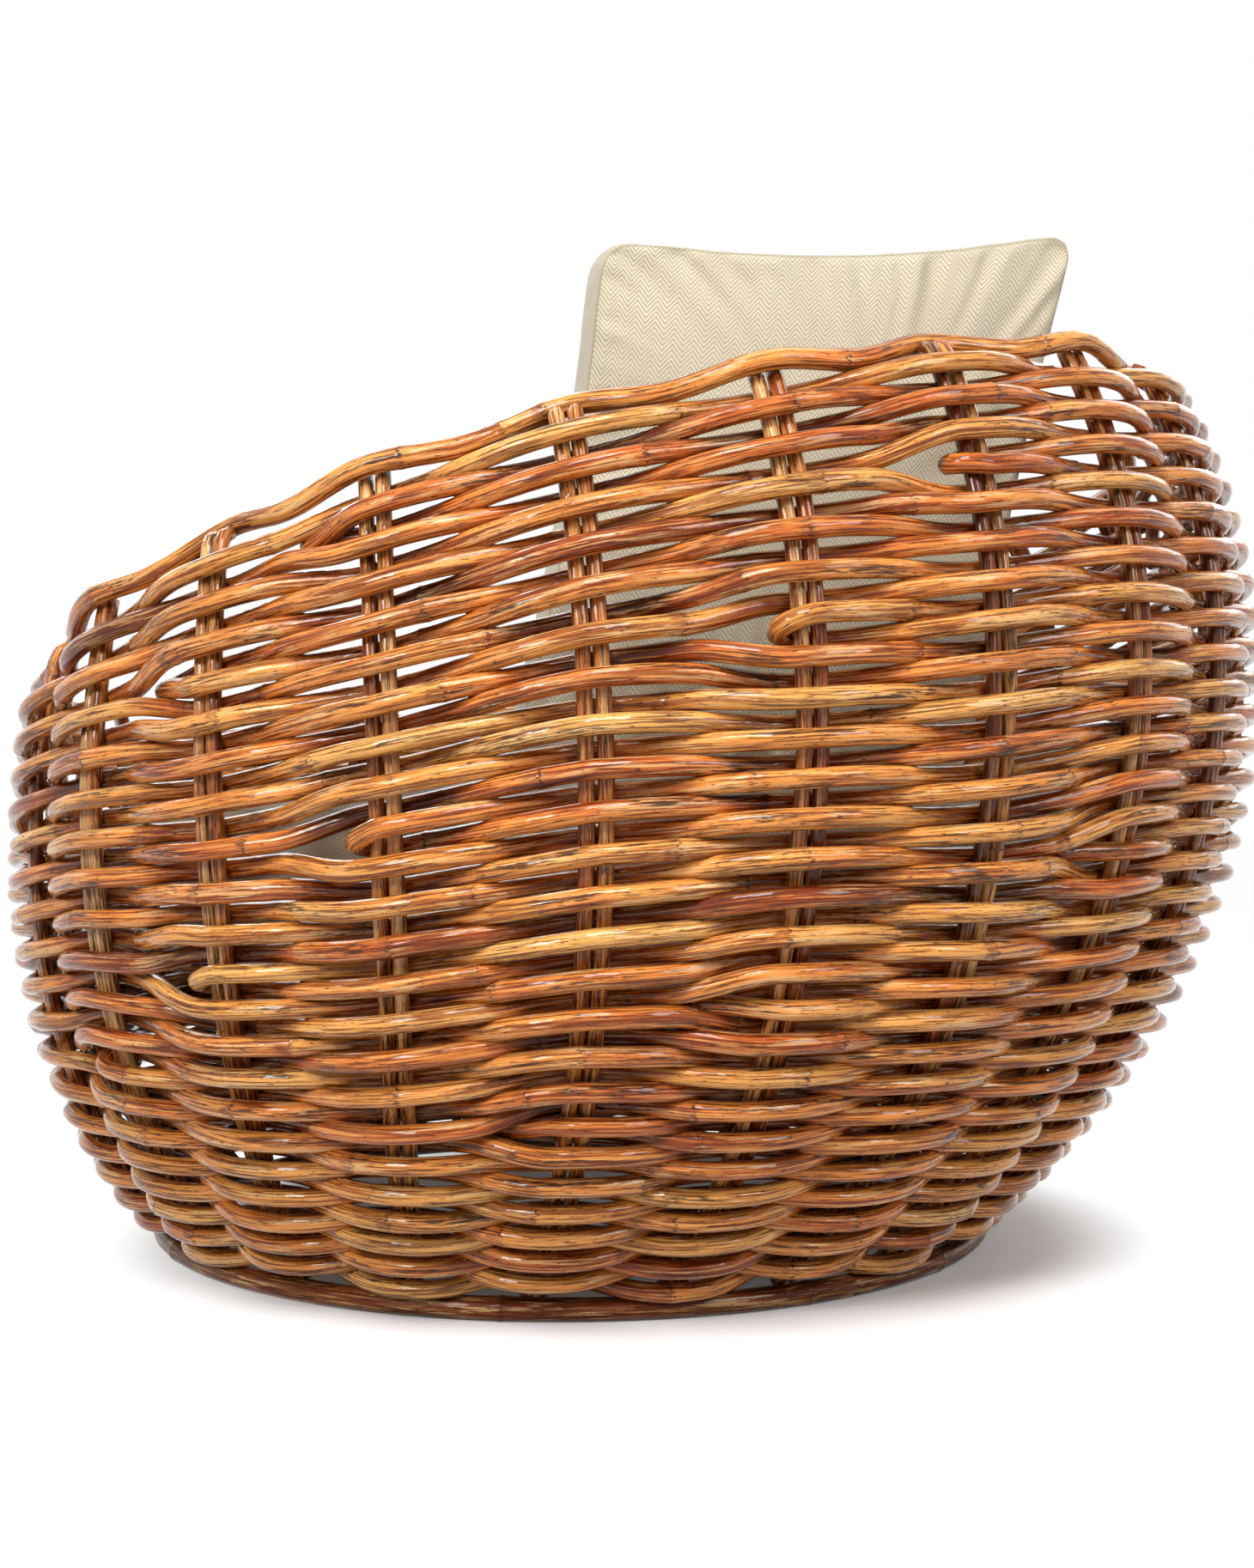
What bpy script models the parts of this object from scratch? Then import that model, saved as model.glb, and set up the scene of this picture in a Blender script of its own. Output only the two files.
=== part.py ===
"""Woven rattan nest chair: an open bowl of whole cane with a slanting rim and two loose cushions.

Front is -Y, the high back is +Y, and the foot hoop stands on z = 0.
The wall is a sphere cut by rings. The rings lie level at the foot and tip up towards the back as they climb.
Pairs of canes stand round it as stakes. Long strands spiral up the wall, outside one pair and inside the next.
The back is longer than the front, so short strands that turn back on themselves fill the extra height there.
"""

import math

import bmesh
import bpy
from mathutils import Matrix, Vector

# Wall of the bowl, metres. Radii are to the outside of the weave.
BELLY_RADIUS = 0.600
BELLY_HEIGHT = 0.447
RIM_RISE = 0.184
RIM_TILT_DEG = 15.8
TILT_GROWTH = 0.8
RIM_SADDLE = 0.003
FOOT_OFFSET = -0.074
BELLY_OFFSET = -0.005
RIM_OFFSET = -0.025

# Canes
STAKE_DIAMETER = 0.0136
WEAVER_DIAMETER = 0.0126
FOOT_HOOP_DIAMETER = 0.020
FOOT_HOOP_SEGMENTS = 28
FOOT_ROW_RISE = 0.0095
ROW_PITCH = 0.0147
STAKE_PAIRS = 23
STAKE_SEGMENTS = 6
CANE_SIDES = 6
LONG_STRANDS = 16
SHORT_STRANDS = 12
STEP_UP_PAIRS = 4
LOWEST_SHORT_ROW = 7
SHORT_END_TAIL = 0.020
TURN_BEND_LEAD = 0.002
HOOK_RISE = 0.014
HOOK_REACH = 0.010
STRAIGHT_TOP_RISE = 0.010
BORDER_MARGIN = 0.002

# Seat deck and cushions
DECK_HEIGHT = 0.300
DECK_HOOP_DIAMETER = 0.024
DECK_HOOP_SEGMENTS = 36
SLAT_DIAMETER = 0.018
SLAT_COUNT = 9
SLAT_PITCH = 0.100
SEAT_RADIUS = 0.460
SEAT_SEGMENTS = 24
SEAT_THICKNESS = 0.150
SEAT_CROWN = 0.022
SEAT_SEAM_INSET = 0.012
BACK_WIDTH = 0.416
BACK_HEIGHT = 0.474
BACK_GUSSET = 0.070
BACK_CROWN = 0.030
BACK_DRAW_IN = 0.045
BACK_DIP = 0.075
BACK_CORNER_TUCK = 0.050
BACK_LEAN_DEG = 8.0
BACK_FACING_DEG = 49.0
BACK_SLUMP = -0.15
BACK_SAG = 0.012
BACK_CENTRE_X = 0.146
BACK_CENTRE_Y = 0.229

# Clearances
SEAT_GAP = 0.0003
WEAVE_GAP = 0.0004
STRAND_END_GAP = 0.0010

# Edges sharper than this stay crisp; the facets of the round canes meet at less.
SHARP_ANGLE_DEG = 65.0

CANE_COLOURS = (
    (0.50, 0.25, 0.09),
    (0.42, 0.18, 0.06),
    (0.34, 0.13, 0.045),
    (0.55, 0.30, 0.12),
)
STAKE_COLOUR = (0.36, 0.15, 0.05)
FOOT_COLOUR = (0.16, 0.055, 0.02)
LINEN_COLOUR = (0.72, 0.66, 0.54)


def polygon_radius(diameter, sides):
    """Corner radius of the polygon that has the area of a round cane."""
    return diameter / 2 * math.sqrt(2 * math.pi / (sides * math.sin(2 * math.pi / sides)))


STAKE_RADIUS = polygon_radius(STAKE_DIAMETER, 6)
LOBE_OFFSET = STAKE_RADIUS * math.cos(math.pi / 6)
WEAVER_RADIUS = polygon_radius(WEAVER_DIAMETER, CANE_SIDES)
WEAVER_HALF_HEIGHT = WEAVER_RADIUS * math.cos(math.pi / CANE_SIDES)

RIM_LATITUDE = math.asin(RIM_RISE / BELLY_RADIUS)
PAIR_ANGLE = 2 * math.pi / STAKE_PAIRS
BACK_PAIR = (STAKE_PAIRS - 1) // 2


def crossing_offset(spacing):
    """Distance from the centre of a stake pair to that of a weaver passing it.

    A weaver runs straight from outside one pair to inside the next, across the corner that the ring of
    stakes makes, so over the crest of each stake it has already come in a little.
    """
    corner = 1.3 * math.tan(PAIR_ANGLE / 2) * LOBE_OFFSET
    return (STAKE_RADIUS + WEAVER_RADIUS + WEAVE_GAP + corner) / (1 - 2 * LOBE_OFFSET / spacing)


WALL_DEPTH = crossing_offset(PAIR_ANGLE * BELLY_RADIUS) + WEAVER_RADIUS
FOOT_LATITUDE = math.asin((FOOT_HOOP_DIAMETER + FOOT_ROW_RISE - BELLY_HEIGHT) / (BELLY_RADIUS - WALL_DEPTH))


def clear_scene():
    for obj in list(bpy.data.objects):
        bpy.data.objects.remove(obj, do_unlink=True)


def material(name, colour, roughness):
    mat = bpy.data.materials.new(name)
    mat.use_nodes = True
    shader = mat.node_tree.nodes["Principled BSDF"]
    shader.inputs["Base Color"].default_value = (*colour, 1.0)
    shader.inputs["Roughness"].default_value = roughness
    shader.inputs["Metallic"].default_value = 0.0
    return mat


def add_object(name, mesh_builder, colour, roughness, origin=Vector()):
    """Link a bmesh as a named object whose origin is at `origin`."""
    bmesh.ops.recalc_face_normals(mesh_builder, faces=mesh_builder.faces)
    bmesh.ops.translate(mesh_builder, verts=mesh_builder.verts, vec=-origin)
    mesh = bpy.data.meshes.new(name)
    mesh_builder.to_mesh(mesh)
    mesh_builder.free()
    mesh.shade_smooth()
    mesh.set_sharp_from_angle(angle=math.radians(SHARP_ANGLE_DEG))
    mesh.materials.append(material(name + "_material", colour, roughness))
    obj = bpy.data.objects.new(name, mesh)
    obj.location = origin
    bpy.context.scene.collection.objects.link(obj)
    return obj


def skin(rings, closed):
    """Tube through equal rings of points, joined end to end or capped."""
    bm = bmesh.new()
    loops = [[bm.verts.new(point) for point in ring] for ring in rings]
    count = len(loops[0])
    spans = len(loops) if closed else len(loops) - 1
    for i in range(spans):
        first = loops[i]
        second = loops[(i + 1) % len(loops)]
        for k in range(count):
            n = (k + 1) % count
            bm.faces.new((first[k], first[n], second[n], second[k]))
    if not closed:
        bm.faces.new(loops[0])
        bm.faces.new(loops[-1])
    return bm


def polygon_ring(centre, across, up, radius, sides, turn=0.0):
    """Section of a round bar: a regular polygon in the plane of `across` and `up`."""
    ring = []
    for i in range(sides):
        angle = 2 * math.pi * i / sides + turn
        ring.append(centre + (across * math.cos(angle) + up * math.sin(angle)) * radius)
    return ring


# ---- The wall ----

def ring_offset(v):
    """How far the centre of ring v lies towards the back: a parabola through foot, belly and rim."""
    foot = FOOT_OFFSET * (1 - v) * (1 - 2 * v)
    belly = BELLY_OFFSET * 4 * v * (1 - v)
    rim = RIM_OFFSET * v * (2 * v - 1)
    return foot + belly + rim


def wall(angle, v, depth):
    """Point `depth` inside the outer face of the weave, and the outward normal there.

    angle is measured from the back towards +X; v runs from 0 at the foot to 1 at the rim.
    """
    latitude = FOOT_LATITUDE + (RIM_LATITUDE - FOOT_LATITUDE) * v
    tilt = math.radians(RIM_TILT_DEG) * v ** TILT_GROWTH
    to_back = Vector((0.0, math.cos(tilt), math.sin(tilt)))
    ring_axis = Vector((0.0, -math.sin(tilt), math.cos(tilt)))
    radial = to_back * math.cos(angle) + Vector((math.sin(angle), 0.0, 0.0))
    normal = radial * math.cos(latitude) + ring_axis * math.sin(latitude)
    height = BELLY_HEIGHT + BELLY_RADIUS * math.sin(latitude) + RIM_SADDLE * math.cos(2 * angle) * v * v
    centre = Vector((0.0, ring_offset(v), height))
    return centre + radial * BELLY_RADIUS * math.cos(latitude) - normal * depth, normal


class StakeLine:
    """Centre line of one pair of stakes: straight segments of equal length from foot to rim."""

    def __init__(self, pair):
        angle = (pair - BACK_PAIR) * PAIR_ANGLE
        samples = [wall(angle, i / 60, WALL_DEPTH) for i in range(61)]
        lengths = [0.0]
        for (a, _), (b, _) in zip(samples, samples[1:]):
            lengths.append(lengths[-1] + (b - a).length)
        self.length = lengths[-1]
        self.points = []
        self.normals = []
        for knot in range(STAKE_SEGMENTS + 1):
            target = self.length * knot / STAKE_SEGMENTS
            i = max(k for k in range(60) if lengths[k] <= target + 1e-9)
            f = (target - lengths[i]) / (lengths[i + 1] - lengths[i])
            self.points.append(samples[i][0].lerp(samples[i + 1][0], f))
            self.normals.append(samples[i][1].lerp(samples[i + 1][1], f))
        for knot in range(STAKE_SEGMENTS + 1):
            below = max(knot - 1, 0)
            above = min(knot + 1, STAKE_SEGMENTS)
            tangent = (self.points[above] - self.points[below]).normalized()
            normal = self.normals[knot]
            self.normals[knot] = (normal - tangent * normal.dot(tangent)).normalized()

    def at(self, share):
        """Centre, outward direction and upward direction at a share of the height of the wall."""
        knot = min(max(int(share * STAKE_SEGMENTS), 0), STAKE_SEGMENTS - 1)
        f = share * STAKE_SEGMENTS - knot
        up = (self.points[knot + 1] - self.points[knot]).normalized()
        point = self.points[knot].lerp(self.points[knot + 1], f)
        return point, self.normals[knot].lerp(self.normals[knot + 1], f), up


# ---- Rows of the weave ----

class Weave:
    """Counts the rows at each pair of stakes and places them evenly up the wall."""

    def __init__(self, lines):
        self.lines = lines
        front = min(line.length for line in lines)
        self.turns = int(front / ROW_PITCH)
        self.short_count = SHORT_STRANDS
        self.short = []
        half = self.short_count / 2
        for i in range(self.short_count):
            spread = math.acos((i + 0.5 - half) / half)
            reach = max(1, round(spread / PAIR_ANGLE - 0.85))
            self.short.append([0, min(reach, BACK_PAIR - 2)])
        order = [(i * 7) % self.short_count for i in range(self.short_count)]
        if len(set(order)) < self.short_count:
            order = list(range(self.short_count))
        rise = (self.turns - 2 - LOWEST_SHORT_ROW) / max(self.short_count - 1, 1)
        for place, i in enumerate(order):
            self.short[i][0] = round(LOWEST_SHORT_ROW + rise * place)
        self.short.sort()

    def short_rows(self, pair, below_turn):
        """Rows that short strands take up at this pair under the given turn.

        The space of a strand closes over one pair past its end, where half of it is left as a dark gap.
        """
        rows = 0
        for turn, reach in self.short:
            beyond = abs(pair - BACK_PAIR) - reach
            if turn < below_turn:
                rows += min(max(2 - beyond, 0), 2)
        return rows

    def share(self, row, pair):
        """Height of the middle of a row, as a share of the wall; `row` counts turns from the foot."""
        total = self.turns + self.short_rows(pair, self.turns + 1)
        return (row + 0.5) / total

    def step_up(self, pair):
        """Each turn climbs by one row over the last few pairs, in front, to meet the next turn."""
        return max(0, pair - (STAKE_PAIRS - STEP_UP_PAIRS)) / STEP_UP_PAIRS

    def long_row(self, crossing):
        """Turn, pair and row height of a crossing of the long spiral."""
        turn, pair = divmod(crossing, STAKE_PAIRS)
        row = turn + self.step_up(pair) + self.short_rows(pair, turn)
        return pair, self.share(row, pair)

    def side(self, crossing):
        """1 where the spiral passes outside a pair and -1 inside; the top turn is outside at odd pairs."""
        return 1 if (crossing + self.turns) % 2 == 0 else -1

    def gap_middle(self, turn, pair):
        """Height halfway between the long rows of this turn and the next."""
        below = self.long_row(turn * STAKE_PAIRS + pair)[1]
        above = self.long_row((turn + 1) * STAKE_PAIRS + pair)[1]
        return (below + above) / 2


def pair_offset(lines, pair, share):
    """Crossing offset at this height of a pair, from the distance to its nearer neighbour."""
    point = lines[pair].at(share)[0]
    beside = [lines[(pair + step) % STAKE_PAIRS].at(share)[0] for step in (-1, 1)]
    return crossing_offset(min((other - point).length for other in beside))


def crossing_ring(lines, pair, share, side, along=0.0, facing=1):
    """Section of a weaver where it passes a pair; side is 1 outside the pair and -1 inside it."""
    point, out, up = lines[pair].at(share)
    sideways = out.cross(up)
    centre = point + out * (pair_offset(lines, pair, share) * side) + sideways * along
    return polygon_ring(centre, out * facing, up, WEAVER_RADIUS, CANE_SIDES)


def build_long_strands(weave):
    """Spiral strands, cut and butted inside the pairs where nobody sees it."""
    lines = weave.lines
    last = (weave.turns - 1) * STAKE_PAIRS + STAKE_PAIRS - STEP_UP_PAIRS
    cuts = [0]
    for i in range(1, LONG_STRANDS):
        stagger = (i * 5) % 11 - 5
        cuts.append(2 * round((last * i / LONG_STRANDS) / 2 + stagger))
    cuts.append(last)
    for i, cut in enumerate(cuts):
        if weave.side(cut) == 1:
            cuts[i] = cut + 1 if cut < last else cut - 1
    for i in range(LONG_STRANDS):
        rings = []
        for crossing in range(cuts[i], cuts[i + 1] + 1):
            pair, share = weave.long_row(crossing)
            side = weave.side(crossing)
            along = 0.0
            if crossing == cuts[i]:
                along = STRAND_END_GAP / 2
            if crossing == cuts[i + 1]:
                along = -STRAND_END_GAP / 2
            rings.append(crossing_ring(lines, pair, share, side, along))
        colour = CANE_COLOURS[i % len(CANE_COLOURS)]
        add_object(f"long_weaver_{i + 1:02d}", skin(rings, closed=False), colour, 0.35)


def build_short_strands(weave):
    """Strands that run across the back, turn round the last pair and come back one row higher."""
    lines = weave.lines
    for i, (turn, reach) in enumerate(weave.short):
        hand = 1 if i % 2 == 0 else -1
        pairs = [BACK_PAIR + hand * k for k in range(-reach, reach + 1)]
        rows = {}
        for pair in pairs:
            lower = turn + 1 + weave.step_up(pair) + weave.short_rows(pair, turn)
            rows[pair] = (weave.share(lower, pair), weave.share(lower + 1, pair))
        turn_pair = pairs[-1]
        turn_side = -weave.side(turn * STAKE_PAIRS + turn_pair)

        rings = []
        for pair in pairs:
            side = -weave.side(turn * STAKE_PAIRS + pair)
            if pair == pairs[0]:
                rings.append(tail_ring(lines, pair, rows[pair][0], side, hand, turn_side))
            rings.append(crossing_ring(lines, pair, rows[pair][0], side, 0.0, turn_side))
        middle = weave.gap_middle(turn, turn_pair + hand)
        rings += turn_back(lines, turn_pair, rows[turn_pair], turn_side, hand, middle)
        for pair in reversed(pairs):
            side = weave.side(turn * STAKE_PAIRS + pair)
            rings.append(crossing_ring(lines, pair, rows[pair][1], side, 0.0, -turn_side))
            if pair == pairs[0]:
                rings.append(tail_ring(lines, pair, rows[pair][1], side, hand, -turn_side))
        colour = CANE_COLOURS[(i + 2) % len(CANE_COLOURS)]
        add_object(f"short_weaver_{i + 1:02d}", skin(rings, closed=False), colour, 0.35)


def tail_ring(lines, pair, share, side, hand, facing):
    """Cut end of a short strand, a little past its last pair."""
    point, out, up = lines[pair].at(share)
    other = lines[pair - hand].at(share)[0]
    spacing = (other - point).length
    toward = (other - point).normalized()
    centre = point + toward * SHORT_END_TAIL
    centre += out * (pair_offset(lines, pair, share) * side * (1 - 2 * SHORT_END_TAIL / spacing))
    return polygon_ring(centre, out * facing, up, WEAVER_RADIUS, CANE_SIDES)


def turn_back(lines, pair, shares, side, hand, beyond):
    """Half circle round the last pair of stakes, from the lower row to the upper one.

    It points at the next pair, at the height `beyond`, halfway between the long rows there.
    """
    low, out, up = lines[pair].at(shares[0])
    high = lines[pair].at(shares[1])[0]
    radius = pair_offset(lines, pair, shares[0])
    sideways = (lines[pair + hand].at(beyond)[0] - (low + high) / 2).normalized()
    lead = 2 * LOBE_OFFSET + TURN_BEND_LEAD
    rings = []
    for step in range(5):
        angle = math.pi * step / 4
        direction = out * (side * math.cos(angle)) + sideways * math.sin(angle)
        centre = low.lerp(high, step / 4) + sideways * lead + direction * radius
        rings.append(polygon_ring(centre, direction, up, WEAVER_RADIUS, CANE_SIDES))
    return rings


def border_inside(weave, pair):
    """The border passes inside the pairs that the top turn passes outside, and the other way round."""
    return weave.side((weave.turns - 1) * STAKE_PAIRS + pair) == 1


def build_border(weave):
    """Closing strand: outside the straight tops of every other pair, and over the bent tops of the rest."""
    lines = weave.lines
    rings = []
    rest_height = WEAVER_HALF_HEIGHT + SEAT_GAP
    hook_angle = math.atan2(HOOK_REACH, HOOK_RISE)
    crest_height = HOOK_RISE + STAKE_RADIUS * math.sin(hook_angle) + WEAVER_RADIUS + BORDER_MARGIN
    for pair, line in enumerate(lines):
        point, out, up = line.at(1.0)
        following, next_out, next_up = lines[(pair + 1) % STAKE_PAIRS].at(1.0)
        if border_inside(weave, pair):
            centre = point + up * crest_height - out * HOOK_REACH
        else:
            centre = point + up * rest_height + out * pair_offset(lines, pair, 1.0)
        rings.append(polygon_ring(centre, out, up, WEAVER_RADIUS, CANE_SIDES))
        mid_out = (out + next_out).normalized()
        mid_up = (up + next_up).normalized()
        dip = (point + following) / 2 + mid_up * rest_height
        rings.append(polygon_ring(dip, mid_out, mid_up, WEAVER_RADIUS, CANE_SIDES))
    add_object("rim_border_strand", skin(rings, closed=True), CANE_COLOURS[0], 0.35)


# ---- Stakes and foot hoop ----

def pair_section(centre, out, sideways):
    """Two canes side by side, touching: two hexagons with one side in common."""
    half = STAKE_RADIUS / 2
    full = STAKE_RADIUS
    outline = [
        (-2, half), (-1, full), (0, half), (1, full), (2, half),
        (2, -half), (1, -full), (0, -half), (-1, -full), (-2, -half),
    ]
    return [centre + sideways * (LOBE_OFFSET * x) + out * y for x, y in outline]


def stake_foot(line):
    """Section at the foot of a stake pair, whose lowest corner stands on the foot hoop."""
    point, out, up = line.at(0.0)
    sideways = out.cross(up).normalized()
    lowest = min(corner.z for corner in pair_section(point, out, sideways))
    drop = (lowest - FOOT_HOOP_DIAMETER - SEAT_GAP) / up.z
    return pair_section(point - up * drop, out, sideways)


def build_stakes(weave):
    """Pairs of canes up the wall; under the border every other pair is bent in over the rim."""
    for pair, line in enumerate(weave.lines):
        rings = [stake_foot(line)]
        for knot in range(STAKE_SEGMENTS + 1):
            out = line.normals[knot]
            up = line.at(min(knot / STAKE_SEGMENTS, 1.0))[2]
            rings.append(pair_section(line.points[knot], out, out.cross(up).normalized()))
        top, out, up = line.at(1.0)
        sideways = out.cross(up).normalized()
        if border_inside(weave, pair):
            bend = math.atan2(HOOK_REACH, HOOK_RISE)
            hook = top + up * HOOK_RISE - out * HOOK_REACH
            hook_out = out * math.cos(bend) + up * math.sin(bend)
            rings.append(pair_section(hook, hook_out, sideways))
        else:
            rings.append(pair_section(top + up * STRAIGHT_TOP_RISE, out, sideways))
        add_object(f"stake_pair_{pair + 1:02d}", skin(rings, closed=False), STAKE_COLOUR, 0.35)


def revolved(profile, centre, segments):
    """Closed ring of revolution about the vertical through `centre`."""
    rings = []
    for i in range(segments):
        angle = 2 * math.pi * i / segments
        outward = Vector((math.sin(angle), math.cos(angle), 0.0))
        rings.append([centre + outward * r + Vector((0, 0, z)) for r, z in profile])
    return skin(rings, closed=True)


def octagon_profile(radius, height, diameter):
    """Bar section with flats above and below, as radius and height from a ring's centre."""
    corner = diameter / 2 / math.cos(math.pi / 8)
    profile = []
    for i in range(8):
        angle = math.pi / 8 + math.pi / 4 * i
        profile.append((radius + corner * math.cos(angle), height + corner * math.sin(angle)))
    return profile


def build_foot_hoop(lines):
    """Thick hoop under the stakes, flat below where it stands."""
    centre = Vector((0.0, ring_offset(0.0), 0.0))
    reaches = []
    for line in lines:
        corner = min(stake_foot(line), key=lambda point: point.z) - centre
        reaches.append(math.hypot(corner.x, corner.y))
    radius = (min(reaches) + max(reaches)) / 2
    profile = octagon_profile(radius, FOOT_HOOP_DIAMETER / 2, FOOT_HOOP_DIAMETER)
    add_object("foot_hoop", revolved(profile, centre, FOOT_HOOP_SEGMENTS), FOOT_COLOUR, 0.45)


# ---- Seat ----

def weave_points_near(height, reach):
    """Points along the edges of the woven canes, within `reach` of a height."""
    points = []
    for obj in bpy.data.objects:
        if "weaver" not in obj.name:
            continue
        for edge in obj.data.edges:
            start, end = [obj.data.vertices[i].co for i in edge.vertices]
            if min(start.z, end.z) > height + reach or max(start.z, end.z) < height - reach:
                continue
            along = [start.lerp(end, step / 16) for step in range(17)]
            points += [point for point in along if abs(point.z - height) < reach]
    return points


def room_for_hoop(point, centre):
    """Radius at which the deck hoop would come within the seat gap of this point."""
    half = DECK_HOOP_DIAMETER / 2
    offset = point - centre
    thickness = half - max(abs(offset.z) - half * math.tan(math.pi / 8), 0.0)
    segment = 2 * math.pi / DECK_HOOP_SEGMENTS
    from_middle = math.atan2(offset.x, offset.y) % segment - segment / 2
    reach = math.hypot(offset.x, offset.y) - SEAT_GAP
    return reach * math.cos(from_middle) / math.cos(segment / 2) - thickness


def deck_place():
    """Centre and radius of the largest hoop that fits inside the woven canes at the deck."""
    height = DECK_HEIGHT - SLAT_DIAMETER / 2
    points = weave_points_near(height, DECK_HOOP_DIAMETER / 2)
    best_radius = 0.0
    for step in range(-60, 61):
        centre = Vector((0.0, step * 0.001, height))
        radius = min(room_for_hoop(point, centre) for point in points)
        if radius > best_radius:
            best_radius = radius
            best_centre = centre
    return best_centre, best_radius


def build_deck():
    """Hoop held inside the wall, with round slats let into it."""
    centre, radius = deck_place()
    profile = octagon_profile(radius, 0.0, DECK_HOOP_DIAMETER)
    deck = add_object("seat_deck", revolved(profile, centre, DECK_HOOP_SEGMENTS), STAKE_COLOUR, 0.45)

    slats = bmesh.new()
    corner = SLAT_DIAMETER / 2 / math.cos(math.pi / 8)
    for i in range(SLAT_COUNT):
        x = (i - (SLAT_COUNT - 1) / 2) * SLAT_PITCH
        half = math.sqrt(radius * radius - x * x)
        middle = centre + Vector((x, 0, 0))
        ends = []
        for y in (-half, half):
            start = middle + Vector((0, y, 0))
            ring = polygon_ring(start, Vector((1, 0, 0)), Vector((0, 0, 1)), corner, 8, math.pi / 8)
            ends.append([slats.verts.new(point) for point in ring])
        for k in range(8):
            n = (k + 1) % 8
            slats.faces.new((ends[0][k], ends[0][n], ends[1][n], ends[1][k]))
        slats.faces.new(ends[0])
        slats.faces.new(ends[1])
    cutter = add_object("deck_slats_for_union", slats, STAKE_COLOUR, 0.45)
    cutter.hide_render = True
    cutter.display_type = "WIRE"
    union = deck.modifiers.new("Slats", "BOOLEAN")
    union.operation = "UNION"
    union.solver = "EXACT"
    union.object = cutter
    return centre


def seat_top(radius):
    """Height of the crowned top of the seat cushion above its flat underside."""
    share = min(radius / SEAT_RADIUS, 1.0)
    return SEAT_THICKNESS - SEAT_CROWN * share * share


def build_seat_cushion(centre):
    """Round box cushion: flat below, crowned above, its side drawn in at the two seams."""
    seam = SEAT_RADIUS - SEAT_SEAM_INSET
    edge = seat_top(seam)
    profile = [(0.02, 0.0), (seam * 0.6, 0.0), (seam - 0.02, 0.0), (seam, 0.010)]
    for i in range(1, 4):
        angle = math.pi * i / 4
        profile.append((seam + SEAT_SEAM_INSET * math.sin(angle), 0.010 + (edge - 0.020) * i / 4))
    profile.append((seam, edge - 0.010))
    for share in (0.94, 0.75, 0.5, 0.25):
        profile.append((seam * share, seat_top(seam * share)))
    base = Vector((0.0, centre.y, DECK_HEIGHT + SEAT_GAP))
    bm = bmesh.new()
    loops = []
    for i in range(SEAT_SEGMENTS):
        angle = 2 * math.pi * i / SEAT_SEGMENTS
        outward = Vector((math.sin(angle), math.cos(angle), 0.0))
        loops.append([bm.verts.new(base + outward * r + Vector((0, 0, z))) for r, z in profile])
    for i in range(SEAT_SEGMENTS):
        first = loops[i]
        second = loops[(i + 1) % SEAT_SEGMENTS]
        for k in range(len(profile) - 1):
            bm.faces.new((first[k], first[k + 1], second[k + 1], second[k]))
    for end, height in ((0, 0.0), (-1, seat_top(0.0))):
        pole = bm.verts.new(base + Vector((0, 0, height)))
        for i in range(SEAT_SEGMENTS):
            bm.faces.new((loops[i][end], loops[(i + 1) % SEAT_SEGMENTS][end], pole))
    add_object("seat_cushion", bm, LINEN_COLOUR, 0.9, base)
    return base


def back_cushion_point(x, z, face):
    """Point of the back cushion in its own frame; x and z run from -1 to 1, face is 1 outside, -1 inside."""
    tuck = 1 - BACK_CORNER_TUCK * (x * z) ** 4
    across = BACK_WIDTH / 2 * x * (1 - BACK_DRAW_IN * (1 - z * z)) * tuck
    height = BACK_HEIGHT / 2 * z * (1 - BACK_DIP * (1 - x * x)) * tuck
    height -= BACK_SAG * x * (1 + z) / 2
    swell = (1 - x ** 4) * (1 - z ** 4)
    thickness = face * (BACK_GUSSET / 2 + BACK_CROWN * swell)
    return Vector((across + BACK_SLUMP * height, thickness, height))


def build_back_cushion(seat_base):
    """Square box cushion standing on the seat and leaning towards the rim."""
    count = 8
    bm = bmesh.new()
    grids = []
    for face in (-1, 1):
        grid = []
        for i in range(count + 1):
            row = []
            for k in range(count + 1):
                x = math.sin(math.pi / 2 * (2 * i / count - 1))
                z = math.sin(math.pi / 2 * (2 * k / count - 1))
                row.append(bm.verts.new(back_cushion_point(x, z, face)))
            grid.append(row)
        grids.append(grid)
        for i in range(count):
            for k in range(count):
                bm.faces.new((grid[i][k], grid[i + 1][k], grid[i + 1][k + 1], grid[i][k + 1]))
    rim = [(i, 0) for i in range(count)] + [(count, k) for k in range(count)]
    rim += [(i, count) for i in range(count, 0, -1)] + [(0, k) for k in range(count, 0, -1)]
    for here, there in zip(rim, rim[1:] + rim[:1]):
        inner, outer = grids
        bm.faces.new((inner[here[0]][here[1]], inner[there[0]][there[1]],
                      outer[there[0]][there[1]], outer[here[0]][here[1]]))
    lean = Matrix.Rotation(-math.radians(BACK_LEAN_DEG), 4, "X")
    facing = Matrix.Rotation(-math.radians(BACK_FACING_DEG), 4, "Z")
    bmesh.ops.transform(bm, matrix=facing @ lean, verts=bm.verts)
    bmesh.ops.translate(bm, verts=bm.verts, vec=Vector((BACK_CENTRE_X, BACK_CENTRE_Y, 0.0)))
    drop = 1.0
    for vertex in bm.verts:
        radius = math.hypot(vertex.co.x - seat_base.x, vertex.co.y - seat_base.y)
        drop = min(drop, vertex.co.z - seat_base.z - seat_top(radius))
    bmesh.ops.translate(bm, verts=bm.verts, vec=Vector((0.0, 0.0, SEAT_GAP - drop)))
    heights = [vertex.co.z for vertex in bm.verts]
    origin = Vector((BACK_CENTRE_X, BACK_CENTRE_Y, (min(heights) + max(heights)) / 2))
    add_object("back_cushion", bm, LINEN_COLOUR, 0.9, origin)


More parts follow.
